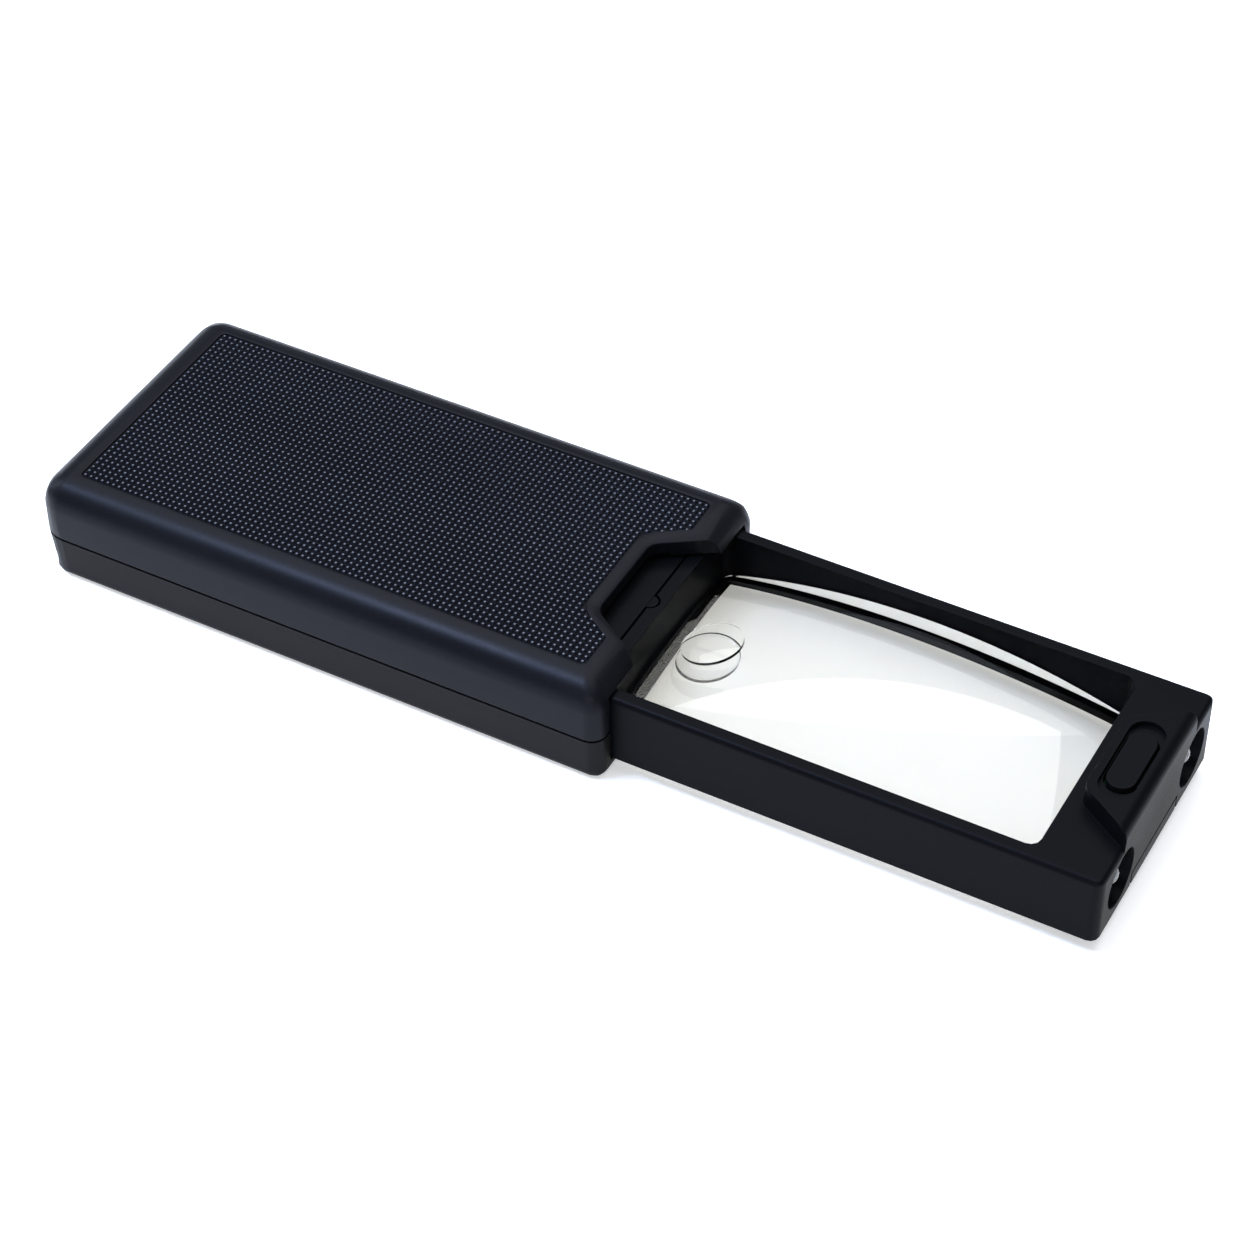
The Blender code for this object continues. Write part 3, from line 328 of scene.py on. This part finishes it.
class Finish:
    """A material under construction: its nodes, its shader and the place of each point."""

    def __init__(self, name):
        self.material = bpy.data.materials.new(name)
        self.material.use_nodes = True
        self.tree = self.material.node_tree
        self.shader = self.tree.nodes["Principled BSDF"]
        self.place = self.add('ShaderNodeTexCoord').outputs["Object"]

    def add(self, kind, **inputs):
        node = self.tree.nodes.new(kind)
        for key, value in inputs.items():
            node.inputs[key.replace("_", " ")].default_value = value
        return node

    def link(self, source, target):
        self.tree.links.new(source, target)

    def noise(self, scale, detail=2.0, rough=0.5, stretch=None):
        node = self.add('ShaderNodeTexNoise', Scale=scale, Detail=detail, Roughness=rough)
        if stretch:
            mapping = self.add('ShaderNodeMapping', Scale=stretch)
            self.link(self.place, mapping.inputs["Vector"])
            self.link(mapping.outputs["Vector"], node.inputs["Vector"])
        else:
            self.link(self.place, node.inputs["Vector"])
        return node.outputs["Fac"]

    def spread(self, value, low, high, from_low=0.3, from_high=0.7):
        node = self.add('ShaderNodeMapRange')
        node.inputs["From Min"].default_value = from_low
        node.inputs["From Max"].default_value = from_high
        node.inputs["To Min"].default_value = low
        node.inputs["To Max"].default_value = high
        self.link(value, node.inputs["Value"])
        return node.outputs["Result"]

    def blend(self, factor, first, second):
        node = self.tree.nodes.new('ShaderNodeMix')
        node.data_type = 'RGBA'
        self.link(factor, node.inputs[0])
        for socket, value in ((node.inputs[6], first), (node.inputs[7], second)):
            if hasattr(value, "links"):
                self.link(value, socket)
            else:
                socket.default_value = (*value, 1.0)
        return node.outputs[2]

    def arithmetic(self, operation, first, second):
        node = self.tree.nodes.new('ShaderNodeMath')
        node.operation = operation
        for socket, value in zip(node.inputs, (first, second)):
            if hasattr(value, "links"):
                self.link(value, socket)
            else:
                socket.default_value = value
        return node.outputs[0]

    def edges(self, radius):
        """0 on flats, up to 1 where an edge is rubbed."""
        soft = self.tree.nodes.new('ShaderNodeBevel')
        soft.samples = 4
        soft.inputs["Radius"].default_value = radius
        geometry = self.add('ShaderNodeNewGeometry')
        dot = self.tree.nodes.new('ShaderNodeVectorMath')
        dot.operation = 'DOT_PRODUCT'
        self.link(soft.outputs["Normal"], dot.inputs[0])
        self.link(geometry.outputs["Normal"], dot.inputs[1])
        return self.spread(dot.outputs["Value"], 1.0, 0.0, 0.72, 0.99)

    def bump(self, height, distance, strength):
        node = self.add('ShaderNodeBump', Strength=strength, Distance=distance)
        self.link(height, node.inputs["Height"])
        return node.outputs["Normal"]

    def wire(self, **sockets):
        for key, value in sockets.items():
            self.link(value, self.shader.inputs[key.replace("_", " ")])
        return self.material

    def fix(self, **sockets):
        for key, value in sockets.items():
            self.shader.inputs[key.replace("_", " ")].default_value = value


def moulded_plastic(name, colour, roughness, grain, grain_scale=5200.0, shine=0.10, rubbed=2.6):
    """Injection-moulded plastic: spark-eroded grain, slow flow marks, edges rubbed lighter."""
    finish = Finish(name)
    finish.fix(Specular_IOR_Level=shine, Specular_Tint=(0.86, 0.90, 1.0, 1.0), IOR=1.5)
    colour = tuple(colour)
    flow = finish.noise(55.0, 4.0, 0.55, (0.5, 1.0, 1.0))
    grain_field = finish.noise(grain_scale, 3.0, 0.65)
    pits = finish.noise(grain_scale * 0.31, 2.0, 0.6)
    body = finish.blend(finish.spread(flow, 0.0, 1.0), colour, tuple(1.35 * c for c in colour))
    speckle = finish.blend(finish.spread(grain_field, 0.0, 0.55, 0.42, 0.62), body,
                           tuple(1.9 * c for c in colour))
    rub = finish.arithmetic('MULTIPLY', finish.edges(0.00035), finish.spread(pits, 0.25, 1.0))
    tinted = finish.blend(finish.arithmetic('MULTIPLY', rub, 0.45), speckle,
                          tuple(rubbed * c + 0.004 for c in colour))
    rough = finish.arithmetic('ADD', finish.spread(flow, roughness - 0.035, roughness + 0.035),
                              finish.spread(grain_field, -0.03, 0.05))
    rough = finish.arithmetic('SUBTRACT', rough, finish.arithmetic('MULTIPLY', rub, 0.10))
    relief = finish.arithmetic('ADD', grain_field, finish.arithmetic('MULTIPLY', pits, 0.6))
    return finish.wire(Base_Color=tinted, Roughness=rough, Normal=finish.bump(relief, grain, 0.8))


def clear_resin(name, tint, index, roughness):
    """Clear moulded resin with faint handling marks."""
    finish = Finish(name)
    finish.fix(Base_Color=(*tint, 1.0), Transmission_Weight=1.0, IOR=index)
    haze = finish.noise(140.0, 3.0, 0.6)
    hairs = finish.noise(900.0, 2.0, 0.5, (0.06, 1.0, 1.0))
    marks = finish.arithmetic('MULTIPLY', finish.spread(hairs, 0.0, 1.0, 0.66, 0.74),
                              finish.spread(haze, 0.0, 0.02, 0.45, 0.7))
    rough = finish.arithmetic('ADD', marks, finish.spread(haze, roughness * 0.4, roughness * 1.6))
    return finish.wire(Roughness=rough)


def plated_metal(name, colour, roughness, stretch=(1.0, 0.05, 1.0)):
    """Plated or rolled metal with fine drawn lines and dull patches."""
    finish = Finish(name)
    finish.fix(Metallic=1.0)
    lines = finish.noise(9000.0, 2.0, 0.6, stretch)
    patches = finish.noise(420.0, 3.0, 0.6)
    colour = tuple(colour)
    tone = finish.blend(finish.spread(patches, 0.0, 1.0), colour, tuple(0.72 * c for c in colour))
    rough = finish.arithmetic('ADD', finish.spread(lines, -0.05, 0.07),
                              finish.spread(patches, roughness - 0.04, roughness + 0.08))
    return finish.wire(Base_Color=tone, Roughness=rough, Normal=finish.bump(lines, 0.000006, 0.6))


def board_laminate(name):
    """Circuit board: green mask over woven glass, with a net of paler lines."""
    finish = Finish(name)
    weave = finish.tree.nodes.new('ShaderNodeTexWave')
    weave.inputs["Scale"].default_value = 900.0
    finish.link(finish.place, weave.inputs["Vector"])
    mottled = finish.noise(700.0, 3.0, 0.5)
    mask = finish.blend(finish.spread(weave.outputs["Fac"], 0.0, 1.0),
                        (0.010, 0.075, 0.030), (0.016, 0.110, 0.045))
    tracks = finish.tree.nodes.new('ShaderNodeTexVoronoi')
    tracks.feature = 'DISTANCE_TO_EDGE'
    tracks.inputs["Scale"].default_value = 420.0
    finish.link(finish.place, tracks.inputs["Vector"])
    tone = finish.blend(finish.spread(tracks.outputs["Distance"], 1.0, 0.0, 0.03, 0.05),
                        mask, (0.030, 0.160, 0.060))
    return finish.wire(Base_Color=tone, Roughness=finish.spread(mottled, 0.28, 0.45),
                       Normal=finish.bump(weave.outputs["Fac"], 0.00001, 0.4))


# ---------------------------------------------------------------- pieces

def sizes():
    return bpy.context.scene.magnifier_sizes


def colours():
    return bpy.context.scene.magnifier_colours


def notch_surround(name, low, high):
    """The plan of the thumb notch and its dished border, as an upright block."""
    back = MOUTH - NOTCH_DEPTH - NOTCH_BORDER
    tool = block(name, (back, -NOTCH_MOUTH_HALF, low), (MOUTH + OVERREACH, NOTCH_MOUTH_HALF, high))
    edit(tool, 'VERT')
    mesh = bmesh.from_edit_mesh(tool.data)
    for corner in mesh.verts:
        if corner.co.x < MOUTH:
            corner.co.y = math.copysign(NOTCH_BACK_HALF, corner.co.y)
    bmesh.update_edit_mesh(tool.data)
    bpy.ops.object.mode_set(mode='OBJECT')
    round_off(tool, lambda middle, run: abs(run.z) > 0.9 and middle.x < MOUTH, NOTCH_CORNER, 8)
    return tool


class MAGNIFIER_OT_case_shells(bpy.types.Operator):
    """Models the case's two shells"""
    bl_idname = "magnifier.case_shells"
    bl_label = "Case shells"

    def execute(self, context):
        soft = sizes().edge_softness
        top_look = moulded_plastic("case_top_plastic", colours().case, 0.36, 0.000012)
        tray_look = moulded_plastic("case_bottom_plastic", colours().tray, 0.46, 0.000016, shine=0.07)
        top = traced("case_top_shell", "case_top", soft)
        finish_piece(top, top_look, "case", "case_plastic", "case_top_shell")
        tray = traced("case_bottom_shell", "case_bottom", 0.0)
        finish_piece(tray, tray_look, "case", "case_plastic", "case_bottom_shell")
        return {'FINISHED'}


class MAGNIFIER_OT_grip_panel(bpy.types.Operator):
    """Models the panel of small pyramids on the case's top"""
    bl_idname = "magnifier.grip_panel"
    bl_label = "Grip panel"

    def execute(self, context):
        pitch = sizes().grip_pitch
        rear = CASE_LOW.x + GRIP_REAR_BORDER + CONTACT_GAP
        front = MOUTH - GRIP_MOUTH_BORDER - CONTACT_GAP
        half = (CASE_HIGH.y - CASE_LOW.y) / 2 - GRIP_SIDE_BORDER - CONTACT_GAP
        floor = CASE_HIGH.z - GRIP_RECESS
        across = round(2 * half / pitch)
        along = round((front - rear) / pitch)
        rest()
        bpy.ops.mesh.primitive_grid_add(x_subdivisions=along, y_subdivisions=across, size=1,
                                        location=((front + rear) / 2, 0, floor))
        bpy.context.object.scale = (front - rear, 2 * half, 1)
        panel = named("grip_panel")
        edit(panel, 'FACE')
        bpy.ops.mesh.select_all(action='SELECT')
        bpy.ops.mesh.extrude_region_move(TRANSFORM_OT_translate={"value": (0, 0, -GRIP_BACKING)})
        bpy.ops.mesh.select_all(action='SELECT')
        bpy.ops.mesh.normals_make_consistent(inside=False)
        bpy.ops.object.mode_set(mode='OBJECT')
        carve(panel, notch_surround("grip_gap", floor - OVERREACH, floor + OVERREACH))
        edit(panel, 'FACE')
        mesh = bmesh.from_edit_mesh(panel.data)
        cell = GRIP_WHOLE_CELL * pitch * pitch
        for face in mesh.faces:
            if face.normal.z > 0.9 and face.calc_area() > cell and len(face.verts) == 4:
                face.select = True
        bmesh.update_edit_mesh(panel.data)
        bpy.ops.mesh.inset(thickness=GRIP_SLOPE * pitch, depth=sizes().grip_height, use_individual=True,
                           use_even_offset=True)
        bpy.ops.object.mode_set(mode='OBJECT')
        settle_normals(panel, 10.0)
        look = moulded_plastic("grip_plastic", colours().case, 0.33, 0.000010, shine=0.10)
        # The tips' lighter, bluish colour is a painted highlight, standing in for light caught by the pyramid
        # tops
        tip_highlight_look = moulded_plastic("grip_tip_painted_highlight", GRIP_TIP_HIGHLIGHT_COLOUR, 0.30, 0.000006, shine=0.50)
        finish_piece(panel, look, "case", "case_plastic")
        panel.data.materials.append(tip_highlight_look)
        # Faces above this level get the painted highlight
        highlight_level = floor + GRIP_HIGHLIGHT_START * sizes().grip_height
        for face in panel.data.polygons:
            if face.center.z > highlight_level:
                face.material_index = 1
        return {'FINISHED'}


class MAGNIFIER_OT_drawer_frame(bpy.types.Operator):
    """Models the drawer: lens frame, rear slide, base plate and battery door"""
    bl_idname = "magnifier.drawer_frame"
    bl_label = "Drawer"

    def execute(self, context):
        soft = sizes().edge_softness
        look = moulded_plastic("drawer_plastic", colours().drawer, 0.38, 0.000012, shine=0.045)
        body = traced("lens_frame", "frame_body", FRAME_SOFTNESS, clamp=False)
        finish_piece(body, look, "drawer", "frame_plastic", "lens_frame")
        slide = traced("rear_slide", "rear_slide_body", soft)
        finish_piece(slide, look, "drawer", "frame_plastic", "rear_slide")
        base = traced("drawer_base", "base_plate", 0.5 * soft)
        finish_piece(base, look, "drawer", "frame_plastic", "drawer_base")
        door_look = moulded_plastic("door_plastic", colours().drawer, 0.44, 0.000014)
        door = traced("battery_door", "door_plate", 0.5 * soft)
        finish_piece(door, door_look, "battery_door", "door_plastic", "battery_door")
        return {'FINISHED'}


class MAGNIFIER_OT_lens(bpy.types.Operator):
    """Models the rectangular domed lens with its strong round spot"""
    bl_idname = "magnifier.lens"
    bl_label = "Lens"

    def execute(self, context):
        window_front = END_FACE - END_BLOCK_LENGTH
        window_rear = window_front - WINDOW_LENGTH
        front = window_front - FIT - CONTACT_GAP
        rear = window_rear + WINDOW_REAR_DRAFT + FIT
        half_x = (front - rear) / 2
        half_y = LENS_HIGH.y - FLANGE_WIDTH - FIT
        middle = Vector(((front + rear) / 2, 0, 0))
        crown = sizes().dome_crown
        base = LENS_LOW.z + SPOT_DROP
        corner = math.hypot(half_x, half_y)
        dome = (corner ** 2 + crown ** 2) / (2 * crown)
        centre = middle + Vector((0, 0, base + LENS_CORNER_THICKNESS + crown - dome))
        up = Vector((0, 0, 1))

        reach = corner + DOME_MARGIN
        profile = []
        for ring in range(DOME_RINGS + 1):
            out = reach * ring / DOME_RINGS
            profile.append((out, math.sqrt(dome ** 2 - out ** 2)))
        foot = base - OVERREACH - centre.z
        profile += [(reach, foot), (0, foot)]
        lens = turn_round("lens", profile, centre, up, 160)
        optic = block("optic", (rear, -half_y, base), (front, half_y, LENS_HIGH.z + OVERREACH))
        round_off(optic, lambda middle, run: abs(run.z) > 0.9, OPTIC_CORNER, 6)
        carve(lens, optic, 'INTERSECT')
        flange = block("flange", (LENS_LOW.x, LENS_LOW.y, base),
                       (LENS_HIGH.x, LENS_HIGH.y, base + FLANGE_THICKNESS))
        carve(lens, flange, 'UNION')

        spot_x = window_rear + SPOT_FROM_WINDOW_REAR
        spot = sizes().spot_radius
        tilt = math.asin((spot_x - middle.x) / dome)
        lean = Vector((math.sin(tilt), 0, math.cos(tilt)))
        rim = math.sqrt(dome ** 2 - spot ** 2) + SPOT_RIM_RISE
        sink = math.sqrt(SPOT_TOP_RADIUS ** 2 - spot ** 2)
        profile = []
        for ring in range(SPOT_RINGS + 1):
            out = spot * ring / SPOT_RINGS
            profile.append((out, rim - sink + math.sqrt(SPOT_TOP_RADIUS ** 2 - out ** 2)))
        profile += [(spot, rim - SPOT_ROOT), (0, rim - SPOT_ROOT)]
        carve(lens, turn_round("spot", profile, centre, lean, 96), 'UNION')
        top = base + SPOT_FOOT_ROOT
        belly = LENS_LOW.z + SPOT_BELLY
        bowl = [(0, top), (spot, top), (spot, belly)]
        bowl += [(spot * math.cos(angle), belly - SPOT_BELLY * math.sin(angle))
                 for angle in quarter_turn()[1:]]
        carve(lens, turn_round("spot_foot", bowl, (spot_x, 0, 0), up, 96), 'UNION')
        pick(lens)
        bpy.ops.object.shade_smooth_by_angle(angle=math.radians(14))
        look = clear_resin("lens_acrylic", colours().acrylic, 1.49, 0.002)
        finish_piece(lens, look, "drawer", "lens_acrylic", "magnifier_lens")
        return {'FINISHED'}


class MAGNIFIER_OT_push_button(bpy.types.Operator):
    """Models the push button and rounds its edges"""
    bl_idname = "magnifier.push_button"
    bl_label = "Push button"

    def execute(self, context):
        button = traced("push_button", "button_cap", BUTTON_SOFTNESS, 4)
        look = moulded_plastic("button_plastic", colours().button, 0.55, 0.000012, 7000.0, 0.04)
        finish_piece(button, look, "push_button", "button_plastic", "push_button")
        return {'FINISHED'}


class MAGNIFIER_OT_leds(bpy.types.Operator):
    """Models the two clear round LEDs and the chip cup inside each"""
    bl_idname = "magnifier.leds"
    bl_label = "LEDs"

    def execute(self, context):
        resin = clear_resin("led_epoxy", (0.93, 0.94, 0.95), 1.52, 0.03)
        resin.node_tree.nodes["Principled BSDF"].inputs["Transmission Weight"].default_value = 0.86
        silver = plated_metal("led_cup_metal", (0.72, 0.72, 0.70), 0.22)
        glow = Finish("phosphor")
        glow.fix(Roughness=0.6)
        dust = glow.noise(6000.0, 2.0)
        phosphor = glow.wire(Base_Color=glow.blend(glow.spread(dust, 0.0, 1.0),
                                                   (0.55, 0.47, 0.12), (0.72, 0.62, 0.20)))
        for word in ("near", "far"):
            low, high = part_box(f"{word}_led")
            start = Vector((low.x, (low.y + high.y) / 2, (low.z + high.z) / 2))
            along = high.x - low.x
            flange = (high.y - low.y) / 2
            profile = [(0, 0), (flange, 0), (flange, LED_FLANGE_THICKNESS - LED_FLANGE_CHAMFER),
                       (flange - LED_FLANGE_CHAMFER, LED_FLANGE_THICKNESS),
                       (LED_RADIUS, LED_FLANGE_THICKNESS)]
            profile += [(LED_RADIUS * math.cos(angle), along - LED_RADIUS + LED_RADIUS * math.sin(angle))
                        for angle in quarter_turn()]
            bulb = turn_round(f"{word}_bulb", profile, start, (1, 0, 0), 48)
            settle_normals(bulb)
            finish_piece(bulb, resin, "drawer", "led_epoxy", f"{word}_led")
            cup = turn_round(f"{word}_led_cup", CUP_OUTLINE, start, (1, 0, 0), 32)
            settle_normals(cup)
            finish_piece(cup, silver, "drawer", "led_epoxy")
            chip = block(f"{word}_led_chip", start + Vector((CHIP_BACK, -CHIP_HALF, -CHIP_HALF)),
                         start + Vector((CHIP_FRONT, CHIP_HALF, CHIP_HALF)))
            soften(chip, CHIP_SOFTNESS)
            settle_normals(chip)
            finish_piece(chip, phosphor, "drawer", "led_epoxy")
        return {'FINISHED'}


class MAGNIFIER_OT_electrics(bpy.types.Operator):
    """Finishes the cells, contacts, board, switch, leads and screws"""
    bl_idname = "magnifier.electrics"
    bl_label = "Cells, board and screws"

    def execute(self, context):
        nodes = frame["nodes"]
        steel = plated_metal("bright_steel", (0.62, 0.61, 0.59), 0.24, (0.05, 1.0, 1.0))
        tinned = plated_metal("tinned_wire", (0.66, 0.66, 0.67), 0.30, (1.0, 1.0, 0.05))
        spring = plated_metal("contact_nickel", (0.60, 0.57, 0.50), 0.28, (0.05, 1.0, 1.0))
        zinc = plated_metal("zinc_screw", (0.50, 0.51, 0.53), 0.32, (1.0, 1.0, 1.0))
        board = board_laminate("board_laminate")
        plunger = moulded_plastic("plunger_plastic", (0.02, 0.02, 0.02), 0.5, 0.000008)
        ceramic = moulded_plastic("resistor_ceramic", (0.03, 0.03, 0.035), 0.4, 0.000006, shine=0.4)
        looks = {"button_cell": steel, "led_lead": tinned, "contact": spring, "base_screw": zinc,
                 "circuit_board": board, "switch_body": steel, "switch_plunger": plunger, "resistor": ceramic}
        for node, item in nodes.items():
            for word, look in looks.items():
                if word in node:
                    for slot in item.material_slots:
                        slot.material = look
        for index in range(1, SCREW_COUNT + 1):
            low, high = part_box(f"base_screw_{index}")
            screw = traced(f"base_screw_{index}", f"screw_{index}", SCREW_SOFTNESS)
            across = Vector(((low.x + high.x) / 2, (low.y + high.y) / 2, low.z))
            for half_x, half_y in ((SLOT_HALF_WIDTH, SLOT_HALF_LENGTH),
                                   (SLOT_HALF_LENGTH, SLOT_HALF_WIDTH)):
                reach = Vector((half_x, half_y, SLOT_DEPTH))
                carve(screw, block("drive_slot", across - reach, across + reach))
            settle_normals(screw)
            finish_piece(screw, zinc, "drawer", "screw_steel", f"base_screw_{index}")
        return {'FINISHED'}


class MAGNIFIER_OT_stage(bpy.types.Operator):
    """Makes the floor, the lights and the camera"""
    bl_idname = "magnifier.stage"
    bl_label = "Stage"

    def execute(self, context):
        rest()
        bpy.ops.mesh.primitive_plane_add(size=sizes().floor_size, location=(0, 0, -FLOOR_DROP))
        floor = named("studio_floor")
        paper = Finish("studio_paper")
        paper.fix(Roughness=0.9, Specular_IOR_Level=0.1, Emission_Color=(1, 1, 1, 1), Emission_Strength=0.42)
        mottled = paper.noise(3.0, 2.0)
        tone = tuple(colours().floor)
        floor.data.materials.append(paper.wire(Base_Color=paper.blend(
            paper.spread(mottled, 0.0, 1.0), tone, tuple(0.995 * c for c in tone))))

        self.softbox("overhead_softbox", (-0.10, 0.25, 0.85), 1.0, 1.0, 9.0, (1.0, 1.0, 1.0))
        self.softbox("front_softbox", (0.25, -0.95, 0.45), 0.7, 0.5, 3.0, (1.0, 1.0, 1.0))
        self.softbox("edge_softbox", (-0.30, -0.20, 0.70), 0.26, 0.18, 6.0, (0.55, 0.68, 1.0))
        self.softbox("left_softbox", (-0.90, -0.10, 0.50), 0.5, 0.7, 5.0, (0.72, 0.82, 1.0))

        world = bpy.data.worlds.new("studio_air")
        world.use_nodes = True
        world.node_tree.nodes["Background"].inputs["Color"].default_value = (0.80, 0.88, 1.0, 1.0)
        world.node_tree.nodes["Background"].inputs["Strength"].default_value = 0.32
        context.scene.world = world
        context.scene.view_settings.view_transform = 'Standard'
        context.scene.view_settings.look = 'None'
        self.camera(context.scene)
        return {'FINISHED'}

    def softbox(self, name, place, width, height, power, colour):
        """A rectangular lamp that faces the origin."""
        rest()
        aim = Vector(place).to_track_quat('Z', 'Y').to_euler()
        bpy.ops.object.light_add(type='AREA', location=place, rotation=aim)
        lamp = bpy.context.object
        lamp.name = name
        lamp.data.name = name
        lamp.data.shape = 'RECTANGLE'
        lamp.data.size = width
        lamp.data.size_y = height
        lamp.data.energy = power
        lamp.data.color = colour

    def camera(self, scene):
        azimuth = math.radians(CAMERA_AZIMUTH)
        elevation = math.radians(CAMERA_ELEVATION)
        roll = math.radians(CAMERA_ROLL)
        back = Vector((math.sin(azimuth) * math.cos(elevation), -math.cos(azimuth) * math.cos(elevation),
                       math.sin(elevation)))
        level = Vector((math.cos(azimuth), math.sin(azimuth), 0))
        upright = back.cross(level)
        right = level * math.cos(roll) + upright * math.sin(roll)
        above = upright * math.cos(roll) - level * math.sin(roll)
        rest()
        bpy.ops.object.camera_add(location=(0, 0, 0))
        camera = bpy.context.object
        camera.name = "studio_camera"
        place = Matrix((right, above, back)).transposed().to_4x4()
        place.translation = Vector(CAMERA_TARGET) + back * CAMERA_DISTANCE
        camera.matrix_world = place
        camera.data.sensor_width = 36
        camera.data.lens = CAMERA_LENS
        camera.data.shift_x, camera.data.shift_y = CAMERA_SHIFT
        camera.data.clip_start = 0.01
        scene.camera = camera


class MAGNIFIER_PT_pieces(bpy.types.Panel):
    bl_idname = "MAGNIFIER_PT_pieces"
    bl_label = "Magnifier"
    bl_space_type = 'VIEW_3D'
    bl_region_type = 'UI'
    bl_category = "Magnifier"

    def draw(self, context):
        layout = self.layout
        for step in STEPS:
            layout.operator(step.bl_idname)
        for group in (context.scene.magnifier_sizes, context.scene.magnifier_colours):
            for key in group.__annotations__:
                layout.prop(group, key)


STEPS = (MAGNIFIER_OT_stage, MAGNIFIER_OT_case_shells, MAGNIFIER_OT_grip_panel, MAGNIFIER_OT_drawer_frame,
         MAGNIFIER_OT_lens, MAGNIFIER_OT_push_button, MAGNIFIER_OT_leds, MAGNIFIER_OT_electrics)
CLASSES = (MagnifierSizes, MagnifierColours, *STEPS, MAGNIFIER_PT_pieces)


def register():
    for each in CLASSES:
        bpy.utils.register_class(each)
    bpy.types.Scene.magnifier_sizes = bpy.props.PointerProperty(type=MagnifierSizes)
    bpy.types.Scene.magnifier_colours = bpy.props.PointerProperty(type=MagnifierColours)


def unregister():
    del bpy.types.Scene.magnifier_colours
    del bpy.types.Scene.magnifier_sizes
    for each in reversed(CLASSES):
        bpy.utils.unregister_class(each)


def main():
    register()
    bpy.ops.magnifier.stage()
    bpy.ops.magnifier.case_shells()
    bpy.ops.magnifier.grip_panel()
    bpy.ops.magnifier.drawer_frame()
    bpy.ops.magnifier.lens()
    bpy.ops.magnifier.push_button()
    bpy.ops.magnifier.leds()
    bpy.ops.magnifier.electrics()
    rest()


if __name__ == "__main__":
    main()
